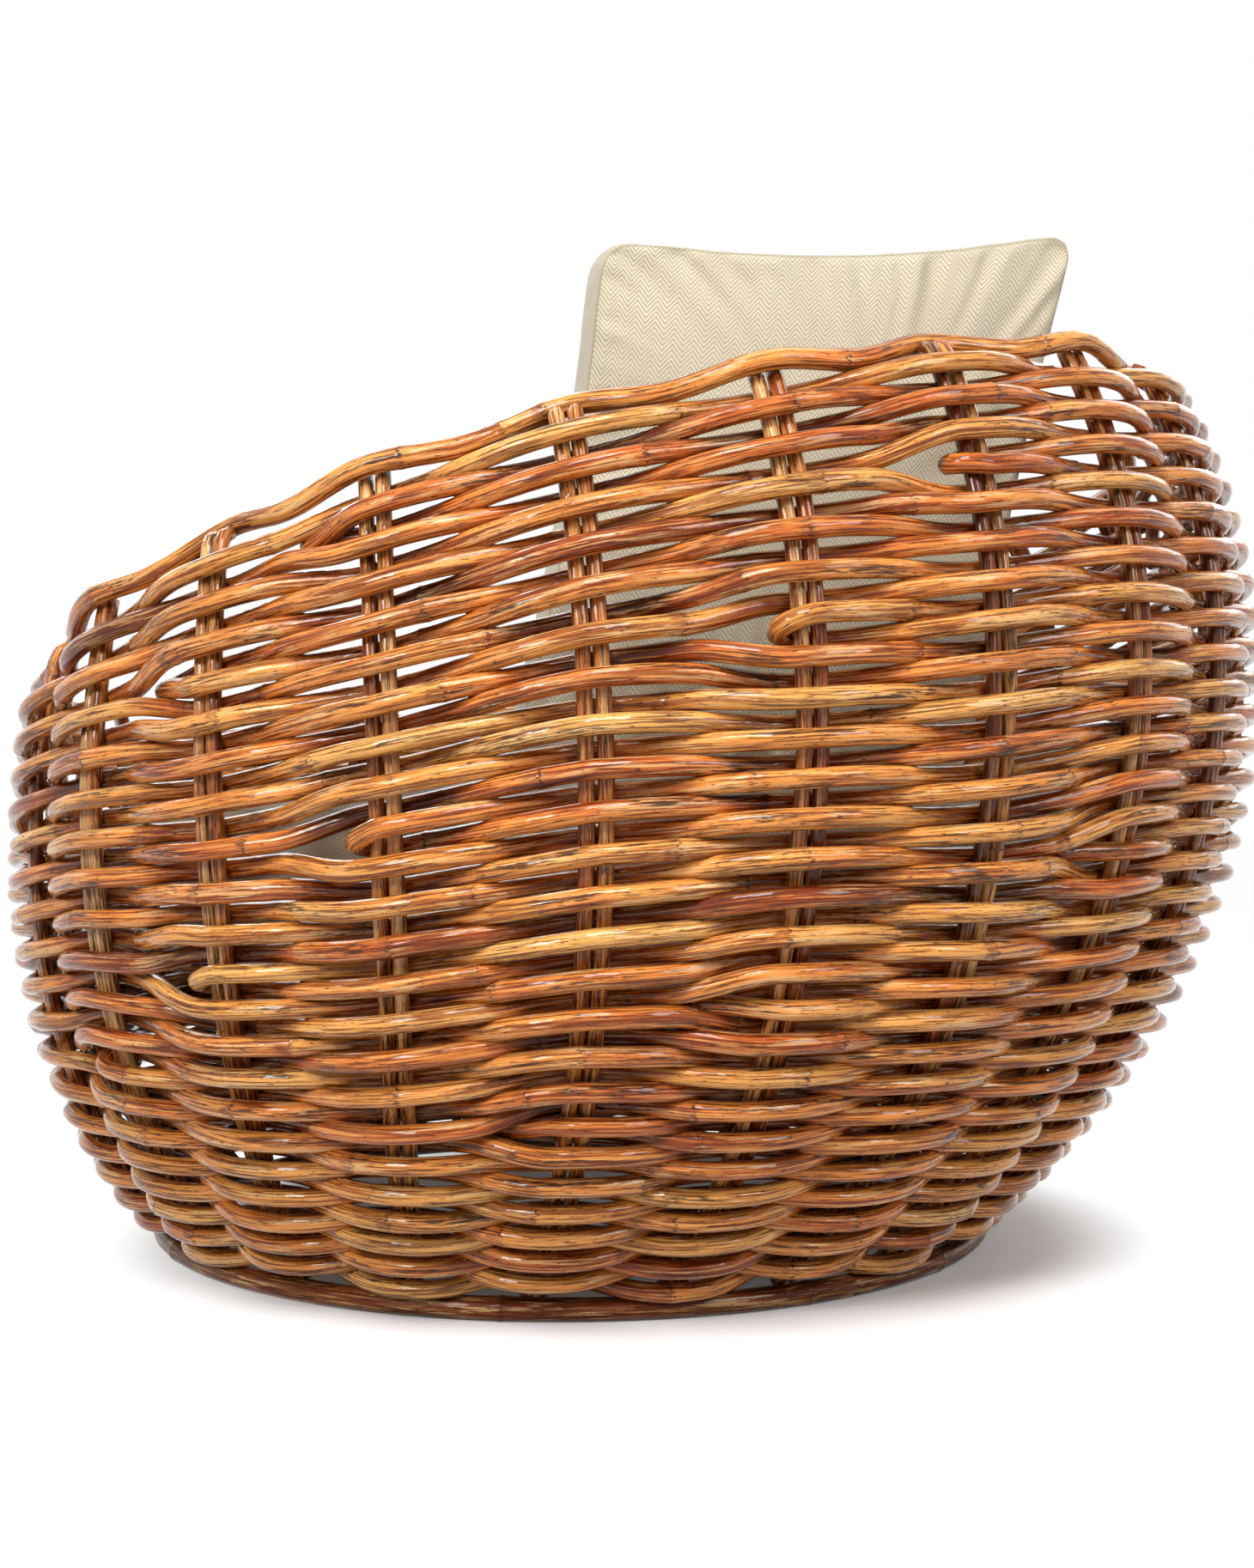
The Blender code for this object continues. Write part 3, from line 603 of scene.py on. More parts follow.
# %% Rattan material
def rattan(name, ramp, varnish):
    """Rattan under varnish; ramp lists (tone, hex colour) from pale to dark."""
    made, tree, surface = new_material(name)
    space = node(tree, "Attribute", attribute_name="cane_space").outputs["Vector"]
    tone = node(tree, "Attribute", attribute_name="tone").outputs["Fac"]
    gap = node(tree, "Attribute", attribute_name="collar_gap").outputs["Fac"]

    def fibre(across, along, detail, shift):
        """Noise with so many features to a metre, across the cane and along it."""
        scaled = node(tree, "Mapping", {"Scale": (across, across, along), "Location": (shift, shift, shift)},
                      {"Vector": space})
        return node(tree, "TexNoise", {"Scale": 1.0, "Detail": detail, "Roughness": 0.6}, {"Vector": scaled})

    # Slow drift of colour along the cane, then its own tone with the painted shade it carries, through the
    # ramp from straw to brown
    drift = meet(tree, (fibre(25.0, 4.5, 3.0, 0.0), 0.25, 0.75, -0.26, 0.26))
    shade = node(tree, "Math", links={0: tone, 1: drift}, operation="ADD", use_clamp=True)
    base = node(tree, "ValToRGB", links={"Fac": shade})
    stops = base.color_ramp.elements
    stops[0].position, stops[0].color = ramp[0][0], colour(ramp[0][1])
    stops[1].position, stops[1].color = ramp[-1][0], colour(ramp[-1][1])
    for position, paint in ramp[1:-1]:
        stops.new(position).color = colour(paint)

    # Fibres are 5 cm long. Real ones are 0.3 mm wide; drawn coarser, at 1.8 mm, they show in a picture
    fibres = fibre(560.0, 20.0, 5.0, 3.1)
    # Stained streaks, 4 mm wide and 14 cm long
    streaks = fibre(260.0, 7.0, 4.0, 9.7)
    # Peeled skin has a ragged edge, and shows paler wood on a pale cane than on a dark one
    peel = meet(tree, (fibre(170.0, 14.0, 5.0, 21.0), 0.55, 0.60, 0.0, 1.0), (fibres, 0.60, 0.48, 0.0, 1.0))
    pale = meet(tree, (tone, 0.0, 1.0, 0.75, 0.40))
    bare_wood = node(tree, "Math", links={0: peel, 1: pale}, operation="MULTIPLY")
    # Pores and scratches are short dashes; scorched patches are broken up by streaks
    pores = meet(tree, (fibre(800.0, 110.0, 2.0, 33.0), 0.635, 0.68, 0.0, 1.0))
    scorch = meet(tree, (fibre(120.0, 10.0, 5.0, 47.0), 0.56, 0.62, 0.0, 1.0),
                  (fibre(600.0, 50.0, 3.0, 51.0), 0.42, 0.56, 0.0, 1.0))

    # Collars: a sharp dark ring, and a striped scar a centimetre long beside it
    ragged = meet(tree, (fibre(500.0, 60.0, 3.0, 60.0), 0.3, 0.7, -0.0032, 0.0032))
    edge = node(tree, "Math", links={0: gap, 1: ragged}, operation="ADD")
    distance = node(tree, "Math", links={0: edge}, operation="ABSOLUTE")
    ring = meet(tree, (distance, 0.0020, 0.0006, 0.0, 0.85),
                (fibre(420.0, 20.0, 2.0, 64.0), 0.42, 0.58, 0.25, 1.0))
    scar = meet(tree, (edge, 0.0002, 0.0012, 0.0, 1.0), (edge, 0.0115, 0.0095, 0.0, 1.0),
                (fibre(700.0, 60.0, 2.0, 71.0), 0.48, 0.58, 0.05, 0.70))

    layers = [
        (meet(tree, (fibres, 0.50, 0.59, 0.0, 0.80)), "4A1A07"),
        (meet(tree, (fibres, 0.49, 0.40, 0.0, 0.36)), "E6B26A"),
        (meet(tree, (streaks, 0.51, 0.61, 0.0, 0.70)), "6A2608"),
        (bare_wood, "D8B078"),
        (meet(tree, (pores, 0.0, 1.0, 0.0, 0.85)), "2C1408"),
        (meet(tree, (scorch, 0.0, 1.0, 0.0, 0.85)), "2A150B"),
        (scar, "6A3218"),
        (ring, "2B1409"),
    ]
    for strength, paint in layers:
        base = node(tree, "Mix", {7: colour(paint)}, {0: strength, 6: base}, data_type="RGBA")

    # Worn and peeled places are rougher; pores and rings are sunk, and the varnish over it all lies in waves
    rough = meet(tree, (fibres, 0.3, 0.7, 0.34, 0.50))
    worn = node(tree, "Math", links={0: rough, 1: meet(tree, (peel, 0.0, 1.0, 0.0, 0.15))}, operation="ADD")
    relief = fibres
    for sunk, depth in ((pores, -0.9), (ring, -0.8)):
        pit = meet(tree, (sunk, 0.0, 1.0, 0.0, depth))
        relief = node(tree, "Math", links={0: relief, 1: pit}, operation="ADD")
    bump = node(tree, "Bump", {"Strength": 0.55, "Distance": 0.0005}, {"Height": relief})
    soft_waves = fibre(160.0, 40.0, 2.0, 81.0)
    waves = node(tree, "Bump", {"Strength": 0.35, "Distance": 0.002}, {"Height": soft_waves})
    shader = node(tree, "BsdfPrincipled",
                  {"IOR": 1.5, "Specular IOR Level": 0.06, "Coat Weight": varnish, "Coat Roughness": 0.07,
                   "Coat IOR": 1.31},
                  {"Base Color": base, "Roughness": worn, "Normal": bump, "Coat Normal": waves})
    tree.links.new(shader.outputs[0], surface)
    return made


WEAVER_RAMP = [(0.0, "DA9F54"), (0.25, "D68E42"), (0.50, "D07830"), (0.75, "B6541A"), (1.0, "5E2409")]
STAKE_RAMP = [(0.0, "E0AA6C"), (0.30, "C67836"), (0.60, "9E481A"), (1.0, "461C0B")]
FOOT_RAMP = [(0.0, "8A5028"), (0.5, "5E2E14"), (1.0, "33180B")]
varnished_cane = rattan("varnished_whole_rattan", WEAVER_RAMP, 1.0)
stake_cane = rattan("varnished_rattan_stake", STAKE_RAMP, 1.0)
foot_cane = rattan("dark_stained_rattan_pole", FOOT_RAMP, 0.5)
print("rattan materials:", varnished_cane.name, stake_cane.name, foot_cane.name)

# %% [markdown]
# ## The long weavers
#
# The path of a weaver swings from outside one pair to inside the next, like a wave that is flat where it
# hugs the stakes. Its height follows the rows and wanders by a few millimetres, as hand-packed rows do.
# Where it lies inside the stakes it is painted darker: painted shade for the shadow there.

# %% Paths of the weavers
CANE_RADIUS = 0.0081
STAKE_RADIUS = 0.0062
SWING = CANE_RADIUS + STAKE_RADIUS
STEPS = 40
# Waves of the packing: how often round the chair, how many half waves up the wall, and the phase
WAVES = ((3, 2, 0.3), (5, 3, 1.7), (8, 2, 4.1), (11, 4, 2.2))
WAVE_HEIGHT = 0.0009
OWN_WANDER = 0.0006
OWN_SWING = 0.0006
USUAL_HEIGHT = 0.6
# Painted shade inside the stakes: how much darker, and from where along the swing it starts
INNER_PAINTED_SHADE = 0.34
PAINTED_SHADE_START = 0.15


def curve_through(values, t):
    """Smooth curve through values at 0, 1, 2 and so on."""
    values = np.asarray(values, float)
    padded = np.concatenate([[2 * values[0] - values[1]], values, [2 * values[-1] - values[-2]]])
    base = np.clip(np.floor(t).astype(int), 0, len(values) - 2)
    f = t - base
    a, b, c, d = (padded[base + i] for i in range(4))
    return b + 0.5 * f * (c - a + f * (2 * a - 5 * b + 4 * c - d + f * (3 * (b - c) + d - a)))


def swing_shape(f):
    """1 at a pair, -1 at the next: nearly straight from one to the other, bent where it hugs the stakes."""
    wave = np.cos(math.pi * f)
    return wave * (1.16 - 0.16 * wave * wave)


def wander(angle, share, seed):
    """Unevenness of the packing: neighbouring rows rise and sink together, each with a little of its own."""
    together = np.zeros_like(share)
    for turns, rows, phase in WAVES:
        together += np.sin(turns * angle + phase) * np.sin(rows * share * math.pi + 2.1 * phase)
    edge = np.clip(share / 0.1, 0.0, 1.0) * np.clip((1 - share) / 0.05, 0.0, 1.0)
    alone = OWN_WANDER * smooth_noise(seed, angle * 2.1)
    return (WAVE_HEIGHT * together + alone) / USUAL_HEIGHT * edge


def inner_painted_shade(swing):
    """How much darker a cane is painted, as painted shade: nothing outside the stakes, most where it lies
    inside them.
    """
    return INNER_PAINTED_SHADE * np.clip(PAINTED_SHADE_START - swing / SWING, 0.0, 1.0)


def long_path(start, stop, seed):
    """Dense points of the spiral between two crossings."""
    t = np.linspace(0.0, stop - start, (stop - start) * STEPS + 1)
    crossing = t + start
    angle = (crossing - BACK_PAIR) * PAIR_ANGLE
    share = long_share(crossing)
    share = share + wander(angle, share, seed)
    swing = side_of(start) * swing_shape(t) * SWING + OWN_SWING * smooth_noise(seed + 5, crossing * 0.9)
    return *woven(angle, share, swing), inner_painted_shade(swing)


print("swing to each side of the stakes, mm:", round(SWING * 1000, 1))

# %% [markdown]
# Sixteen pieces share the 32 turns. They are cut at staggered places, inside a pair of stakes, where a
# weaver hides the end of a cane too. Real canes are shorter still: each piece holds two to four of them,
# most between 2 and 3.3 metres long, butted end to end, each with a tone and a thickness of its own.

# %% Weave the long canes
LONG_STRANDS = 16
LEAST_CROSSINGS = 8
last_crossing = TURNS * PAIRS - STEP_UP_PAIRS
cuts = [0]
for i in range(1, LONG_STRANDS):
    stagger = (i * 5) % 11 - 5
    cuts.append(2 * round((last_crossing * i / LONG_STRANDS) / 2 + stagger))
cuts.append(last_crossing)
for i, cut in enumerate(cuts):
    if side_of(cut) == 1:
        cuts[i] = cut + 1 if cut < last_crossing else cut - 1


def cane_tone(random):
    """Most canes are golden; some are red brown, a few nearly black."""
    return float(np.clip(random.normal(0.43, 0.15), 0.08, 0.85))


total = 0.0
for i in range(LONG_STRANDS):
    random = np.random.RandomState(100 + i)
    canes = []
    start = cuts[i]
    while start < cuts[i + 1]:
        stop = start + 2 * random.randint(7, 12)
        if cuts[i + 1] - stop < LEAST_CROSSINGS:
            stop = cuts[i + 1]
        # The third value is painted shade where the cane lies inside the stakes
        points, normals, painted_shade = long_path(start, stop, 900 + 31 * i)
        radius = CANE_RADIUS * (1.0 + random.uniform(-0.08, 0.05))
        seed = 5000 + 97 * i + start
        canes.append(sweep_cane(points, normals[0], radius, seed, cane_tone(random), painted_shade=painted_shade))
        total += np.linalg.norm(np.diff(points, axis=0), axis=1).sum()
        start = stop
    add_piece(f"long_weaver_{i + 1:02d}", canes, varnished_cane)
print("long weavers, m of cane:", round(total, 1))

# %% [markdown]
# ## The short weavers
#
# A short weaver crosses the back, bends round its last pair in a tight half circle and returns one row
# higher. The bend joins the ends of the two rows: out and in swap places while the cane climbs one row.
# Both ends of the cane are tucked inside the wall, where the next row traps them.

# %% Weave the short canes
TUCK = 0.45
BEND_STEPS = 60
BEND_REACH = 0.024


def short_leg(turn, reach, hand, upper, side, seed):
    """Points, normals and painted shade of one leg, from its tucked end to its last pair.

    side is 1 where it passes the first pair outside.
    """
    t = np.linspace(-TUCK, 2.0 * reach, (2 * reach + 1) * STEPS)
    pair = BACK_PAIR + hand * (t - reach)
    below = rows_under(pair, turn)
    row = turn + 1 + below + upper
    middle = turn + 0.5 + below + room(pair, reach)
    tuck = np.clip(-t / TUCK, 0.0, 1.0)
    share = share_of(row * (1 - tuck) + middle * tuck, pair)
    angle = (pair - BACK_PAIR) * PAIR_ANGLE
    swing = side * swing_shape(t)
    swing = np.where(t < 0.0, swing * (1 - tuck) - tuck, swing)
    return *woven(angle, share + wander(angle, share, seed), swing * SWING), inner_painted_shade(swing * SWING)


def turn_back(low_leg, high_leg, normal):
    """Points of the bend round the last pair, from the end of the lower leg to that of the upper one."""
    low_end, high_end = low_leg[-1], high_leg[-1]
    pivot = (low_end + high_end) / 2
    swing = (low_end - pivot).dot(normal)
    forward = low_leg[-1] - low_leg[-6]
    forward -= normal * forward.dot(normal)
    forward /= np.linalg.norm(forward)
    rise = (high_end - low_end) - normal * (high_end - low_end).dot(normal)
    bend = []
    for f in np.linspace(0.0, 1.0, BEND_STEPS)[1:-1]:
        a = math.pi * f
        level = pivot - rise / 2 + rise * f
        bend.append(level + normal * swing * math.cos(a) + forward * (BEND_REACH * math.sin(a)))
    return np.array(bend)


total = 0.0
for i, (turn, reach) in enumerate(SHORT):
    random = np.random.RandomState(300 + i)
    hand = 1 if i % 2 == 0 else -1
    side = -side_of(turn * PAIRS + BACK_PAIR - hand * reach)
    low_leg, normals, low_painted_shade = short_leg(turn, reach, hand, 0, side, 700 + i)
    high_leg, _, high_painted_shade = short_leg(turn, reach, hand, 1, -side, 700 + i)
    last_pair = np.array([float(BACK_PAIR + hand * reach)])
    middle_share = share_of(turn + 1.5 + rows_under(last_pair, turn), last_pair)
    bend_angle = (last_pair - BACK_PAIR) * PAIR_ANGLE
    _, outward = wall(bend_angle, v_at(bend_angle, middle_share), STAKE_DEPTH)
    bend = turn_back(low_leg, high_leg, outward[0])
    points = np.concatenate([low_leg, bend, high_leg[::-1]])
    # Painted shade along the whole cane, none round the bend
    painted_shade = np.concatenate([low_painted_shade, np.zeros(len(bend)), high_painted_shade[::-1]])
    radius = CANE_RADIUS * (1.0 + random.uniform(-0.08, 0.0))
    cane = sweep_cane(points, normals[0], radius, 8000 + 61 * i, cane_tone(random), painted_shade=painted_shade)
    total += np.linalg.norm(np.diff(points, axis=0), axis=1).sum()
    add_piece(f"short_weaver_{i + 1:02d}", [cane], varnished_cane)
print("short weavers, m of cane:", round(total, 1))

# %% [markdown]
# ## The stakes
#
# Two canes stand side by side in each pair and follow the wall from the foot hoop to the rim. Where the
# border passes inside them, their tops are bent in under it; the other tops end straight behind the border.

# %% Stand the stakes
STAKE_FOOT = -0.017
STAKE_STEPS = 220
STAKE_GAP = 0.0007
STAKE_WANDER = (0.0005, 0.0006)
STAKE_RING_SPACING = 0.008
HOOK_LEAD = 0.005
HOOK_RADIUS = 0.013
HOOK_TURN = math.radians(62.0)
STRAIGHT_TOP = (0.001, 0.009)


def border_inside(pair):
    """Whether the border passes inside a pair: the opposite of the last row under it."""
    return side_of((TURNS - 1) * PAIRS + pair) == 1


for pair in range(PAIRS):
    random = np.random.RandomState(400 + pair)
    angle = (pair - BACK_PAIR) * PAIR_ANGLE
    share = np.linspace(STAKE_FOOT, 1.0, STAKE_STEPS)
    points, normals = wall(angle, v_at(np.full(STAKE_STEPS, angle), share), STAKE_DEPTH)
    up = points[-1] - points[-2]
    up /= np.linalg.norm(up)
    out = normals[-1]
    if border_inside(pair):
        turn = np.linspace(0.0, HOOK_TURN, 14)[:, None]
        rise = HOOK_LEAD + HOOK_RADIUS * np.sin(turn)
        top = points[-1] - out * HOOK_RADIUS * (1 - np.cos(turn)) + up * rise
    else:
        top = points[-1] + up * np.linspace(*STRAIGHT_TOP, 6)[:, None]
    line = np.concatenate([points, top])
    sideways = np.cross(out, up)
    sideways /= np.linalg.norm(sideways)
    canes = []
    for hand in (-1, 1):
        places = np.arange(len(line)) / 12.0
        shift = hand * (STAKE_RADIUS + STAKE_GAP + STAKE_WANDER[0] * smooth_noise(60 + pair, places))
        wobble = STAKE_WANDER[1] * smooth_noise(90 + pair * 2 + hand, places / 1.5)
        path = line + sideways * np.reshape(shift, (-1, 1)) + out * wobble[:, None]
        tone = float(np.clip(random.normal(0.45, 0.24), 0.05, 0.95))
        radius = STAKE_RADIUS * random.uniform(0.94, 1.0)
        canes.append(sweep_cane(path, out, radius, 9000 + 71 * pair + hand, tone, spacing=STAKE_RING_SPACING))
    add_piece(f"stake_pair_{pair + 1:02d}", canes, stake_cane)
print("stakes:", 2 * PAIRS)

# %% [markdown]
# ## The border and the foot
#
# A border closes the rim: three canes, butted end to end. It lies outside the straight tops and dives
# inside over the bent ones, which leaves the small dark triangles beside each pair.

# %% Close the rim
# Height above the rim, and swing outside the stakes, at three kinds of places
OVER_BENT_TOP = (0.0270, -0.0150)
OUTSIDE_STRAIGHT_TOP = (0.0085, SWING)
BETWEEN_PAIRS = (0.0080, 0.0)
BORDER_STEPS = 24
BORDER_TONES = (0.42, 0.30, 0.50)

knots = []
for pair in range(PAIRS):
    knots.append(OVER_BENT_TOP if border_inside(pair) else OUTSIDE_STRAIGHT_TOP)
    knots.append(BETWEEN_PAIRS)
around = np.array(knots[-2:] + knots + knots[:3])
t = np.linspace(0.0, 2 * PAIRS, 2 * PAIRS * BORDER_STEPS + 1)
rise = curve_through(around[:, 0], t + 2)
swing = curve_through(around[:, 1], t + 2)
angle = (t / 2 - BACK_PAIR) * PAIR_ANGLE
rim, normals = wall(angle, 1.0, STAKE_DEPTH)
lower, _ = wall(angle, 0.995, STAKE_DEPTH)
up = (rim - lower) / np.linalg.norm(rim - lower, axis=1)[:, None]
line = rim + up * rise[:, None] + normals * swing[:, None]
third = len(line) // 3
ends = (0, third, 2 * third, len(line) - 1)
canes = []
for k, tone in enumerate(BORDER_TONES):
    stretch = line[ends[k]:ends[k + 1] + 1]
    canes.append(sweep_cane(stretch, normals[0], CANE_RADIUS * 1.02, 9900 + k, tone))
add_piece("rim_border_strand", canes, varnished_cane)
print("border, m of cane:", round(float(np.linalg.norm(np.diff(line, axis=0), axis=1).sum()), 2))

# %% [markdown]
# At the foot, dark poles bent to a hoop carry every stake. The hoop's size and place are read from its CAD
# node. Its joints lie at three places, and each of its poles is darker than the one before.

# %% Bend the foot hoop
CIRCLE_STEPS = 720
SWELLING_ROOM = 0.96  # leaves room for the swelling at a collar inside the CAD pole's diameter

low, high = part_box("foot_hoop")
hoop_radius = (high.x - low.x) / 2 - FOOT_HOOP_DIAMETER / 2
hoop_centre = ((low.x + high.x) / 2, (low.y + high.y) / 2, FOOT_HOOP_DIAMETER / 2)


def arc(centre, radius, start, turn):
    """Points of a level arc that starts at an angle and makes a share of a full turn."""
    a = start + np.linspace(0.0, 2 * math.pi * turn, int(CIRCLE_STEPS * turn) + 1)
    x = centre[0] + radius * np.sin(a)
    y = centre[1] + radius * np.cos(a)
    return np.stack([x, y, np.full_like(a, centre[2])], -1)


canes = []
for k in range(3):
    pole = arc(hoop_centre, hoop_radius, 2 * math.pi * k / 3 + 0.4, 1 / 3)
    radius = FOOT_HOOP_DIAMETER / 2 * SWELLING_ROOM
    canes.append(sweep_cane(pole, (0, 0, 1), radius, 9950 + k, 0.35 + 0.2 * k))
add_piece("foot_hoop", canes, foot_cane)
print("foot hoop radius, m:", round(hoop_radius, 3))

# %% [markdown]
# ## The seat deck
#
# No photograph shows what carries the seat cushion, so the deck is plain: a pole hoop held inside the wall,
# with slats let into it. It is seen only from below.

# %% Deck hoop and slats
DECK_DIAMETER = 0.024
SLAT_DIAMETER = 0.018
SLATS = 9
SLAT_PITCH = 0.100
DECK_ROOM = 0.97
SLAT_RING_SPACING = 0.015

low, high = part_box("seat_deck")
deck_radius = (high.x - low.x) / 2 - DECK_DIAMETER / 2
deck_centre = (0.0, (low.y + high.y) / 2, (low.z + high.z) / 2)
canes = []
for k in range(2):
    pole = arc(deck_centre, deck_radius, math.pi * k, 0.5)
    canes.append(sweep_cane(pole, (0, 0, 1), DECK_DIAMETER / 2 * DECK_ROOM, 9970 + k, 0.5))
for k in range(SLATS):
    x = (k - (SLATS - 1) // 2) * SLAT_PITCH
    half = math.sqrt(deck_radius ** 2 - x ** 2)
    y = np.linspace(-half, half, 200)
    slat = np.stack([np.full_like(y, x), deck_centre[1] + y, np.full_like(y, deck_centre[2])], -1)
    canes.append(sweep_cane(slat, (0, 0, 1), SLAT_DIAMETER / 2 * DECK_ROOM, 9980 + k, 0.35 + 0.04 * k,
                            spacing=SLAT_RING_SPACING))
add_piece("seat_deck", canes, stake_cane)
print("deck hoop radius, m:", round(deck_radius, 3))

# %% [markdown]
# ## Herringbone cotton
#
# The covers are ivory cotton in a herringbone: upright columns in which the ribs run up to the left and
# then up to the right. Columns of 8.5 mm and ribs 4.6 mm apart are coarser than real, so that they show in
# a picture. The pattern reads a UV map in real metres, laid out flat on each panel before the cushion is
# filled, so it bends with the cloth as woven cloth does.

# %% Cloth material
COLUMN_WIDTH = 0.0085
RIB_PITCH = 0.0046
RIB_SLANT = 1.25
RIB_EDGE = 0.0005


def herringbone(name):
    """Cotton in a herringbone, with seams darkened by their stitching and by painted shade."""
    made, tree, surface = new_material(name)
    uv = node(tree, "UVMap", uv_map="cloth")
    parts = node(tree, "SeparateXYZ", links={0: uv})
    zigzag = node(tree, "Math", {1: COLUMN_WIDTH}, {0: parts.outputs[0]}, operation="PINGPONG")
    slanting = node(tree, "Math", {1: RIB_SLANT}, {0: zigzag}, operation="MULTIPLY")
    climb = node(tree, "Math", links={0: slanting, 1: parts.outputs[1]}, operation="ADD")
    ribs = node(tree, "Math", {1: RIB_PITCH / 2}, {0: climb}, operation="PINGPONG")
    blur = node(tree, "TexNoise", {"Scale": 900.0, "Detail": 2.0}, {"Vector": uv})
    cloud = node(tree, "TexNoise", {"Scale": 14.0, "Detail": 3.0}, {"Vector": uv})
    seam = node(tree, "Attribute", attribute_name="seam_gap").outputs["Fac"]
    thread = meet(tree, (ribs, RIB_EDGE, RIB_PITCH / 2 - RIB_EDGE, 0.0, 1.0), (blur, 0.3, 0.7, 0.8, 1.0))
    base = node(tree, "Mix", {6: colour("A89D87"), 7: colour("CEC4AE")}, {0: thread}, data_type="RGBA")
    aged = meet(tree, (cloud, 0.35, 0.75, 0.0, 0.35))
    # A darker band along each seam: partly its stitching, partly painted shade for the welt's shadow line
    seam_stitching_and_shade = meet(tree, (seam, 0.0016, 0.0004, 0.0, 0.7))
    for strength, paint in ((aged, "B3A688"), (seam_stitching_and_shade, "8F8263")):
        base = node(tree, "Mix", {7: colour(paint)}, {0: strength, 6: base}, data_type="RGBA")
    stitched = meet(tree, (seam, 0.0030, 0.0004, 0.0, -3.0))
    relief = node(tree, "Math", links={0: thread, 1: stitched}, operation="ADD")
    bump = node(tree, "Bump", {"Strength": 0.5, "Distance": 0.0004}, {"Height": relief})
    shader = node(tree, "BsdfPrincipled",
                  {"Roughness": 0.9, "Sheen Weight": 0.25, "Sheen Roughness": 0.5, "Specular IOR Level": 0.2},
                  {"Base Color": base, "Normal": bump})
    tree.links.new(shader.outputs[0], surface)
    return made


ivory_cotton = herringbone("ivory_herringbone_cotton")
print("ribs to a column:", round(COLUMN_WIDTH * RIB_SLANT / RIB_PITCH, 1))

# %% [markdown]
# ## The cushions
#
# Both cushions are box cushions: two panels joined by a narrow strip, the gusset, with a seam at each edge.
# A grid is extruded to the thickness, its side is cut into rows, and it is then filled by cloth simulation:
# the air pressure swells the panels, while the seams are told to shrink a little, as stitched seams do.
# That draws in the sides and makes the small puckers that run from the seam into the panel.

# %% Flat box of cloth
GUSSET_ROWS = 9


def box_of_cloth(name, across, along):
    """Closed box of even quads: -1 to 1 both ways and 0 to 1 through. Gives the piece and its points."""
    bpy.ops.object.select_all(action="DESELECT")
    bpy.ops.mesh.primitive_grid_add(x_subdivisions=across, y_subdivisions=along, size=2.0)
    piece = bpy.context.active_object
    piece.name = name
    bpy.ops.object.mode_set(mode="EDIT")
    bpy.ops.mesh.select_all(action="SELECT")
    bpy.ops.mesh.extrude_region_move(TRANSFORM_OT_translate={"value": (0.0, 0.0, 1.0)})
    bpy.ops.mesh.select_all(action="DESELECT")
    box = bmesh.from_edit_mesh(piece.data)
    for edge in box.edges:
        edge.select_set(abs(edge.verts[0].co.z - edge.verts[1].co.z) > 0.5)
    bmesh.update_edit_mesh(piece.data)
    bpy.ops.mesh.subdivide(number_cuts=GUSSET_ROWS - 1)
    bpy.ops.mesh.select_all(action="SELECT")
    bpy.ops.mesh.normals_make_consistent(inside=False)
    bpy.ops.object.mode_set(mode="OBJECT")
    return piece, read_points(piece.data)


def read_points(mesh):
    """The points of a mesh, one to a row."""
    flat = np.empty(len(mesh.vertices) * 3)
    mesh.vertices.foreach_get("co", flat)
    return flat.reshape(-1, 3)


def write_points(mesh, points):
    """Move the points of a mesh."""
    mesh.vertices.foreach_set("co", np.asarray(points, float).ravel())
    mesh.update()


def around_rim(x, y):
    """Distance round the square from -1 to 1, from 0 to 8."""
    size = np.maximum(np.maximum(np.abs(x), np.abs(y)), 1e-9)
    x, y = x / size, y / size
    return np.select([y <= -0.9999, x >= 0.9999, y >= 0.9999], [x + 1, y + 3, 5 - x], 7 - y)


print("rows of cloth in a gusset:", GUSSET_ROWS)

# %% [markdown]
# The cover is drawn before it is filled. It gets a UV map with every part as it was cut, its seams, and how
# far each point is from them. Folds run in from the seams, and corners are rounded.

# %% Seams and folds
FOLD_HEIGHT = 0.0095
FOLD_SLANT = 0.5
FOLD_PITCHES = (0.017, 0.009)
FOLD_REACH = 0.050
FLAT_AT_SEAM = 0.006
NODE_MARGIN = 0.001


def lay_out_cloth(piece, unit, plan, through, perimeter):
    """UV map in metres, and the seams.

    Each panel lies as it was cut, the gusset as one long strip. Gives each point's distance inward from the
    seam, its place round it, and whether it is on a panel.
    """
    mesh = piece.data
    cloth = mesh.uv_layers.active or mesh.uv_layers.new(name="cloth")
    cloth.name = "cloth"
    turn = around_rim(unit[:, 0], unit[:, 1])
    for polygon in mesh.polygons:
        corners = list(polygon.loop_indices)
        ids = [mesh.loops[k].vertex_index for k in corners]
        level = np.ptp(unit[ids, 2]) < 1e-6
        around = turn[ids]
        around = np.where(np.ptp(around) > 4, np.where(around < 4, around + 8, around), around)
        for k, vertex, place in zip(corners, ids, around):
            cloth.data[k].uv = plan[vertex] if level else (place / 8 * perimeter, through[vertex])
    inward = (1 - np.maximum(np.abs(unit[:, 0]), np.abs(unit[:, 1]))) * perimeter / 8
    sideways = np.minimum(through - through.min(), through.max() - through)
    panel = (unit[:, 2] < 0.001) | (unit[:, 2] > 0.999)
    gap = mesh.attributes.new("seam_gap", "FLOAT", "POINT")
    gap.data.foreach_set("value", np.where(panel, inward, sideways).astype(np.float32))
    on_seam = panel & (inward < 1e-6)
    group = piece.vertex_groups.new(name="seams")
    group.add([int(i) for i in np.nonzero(on_seam)[0]], 1.0, "REPLACE")
    return inward, turn / 8 * perimeter, panel


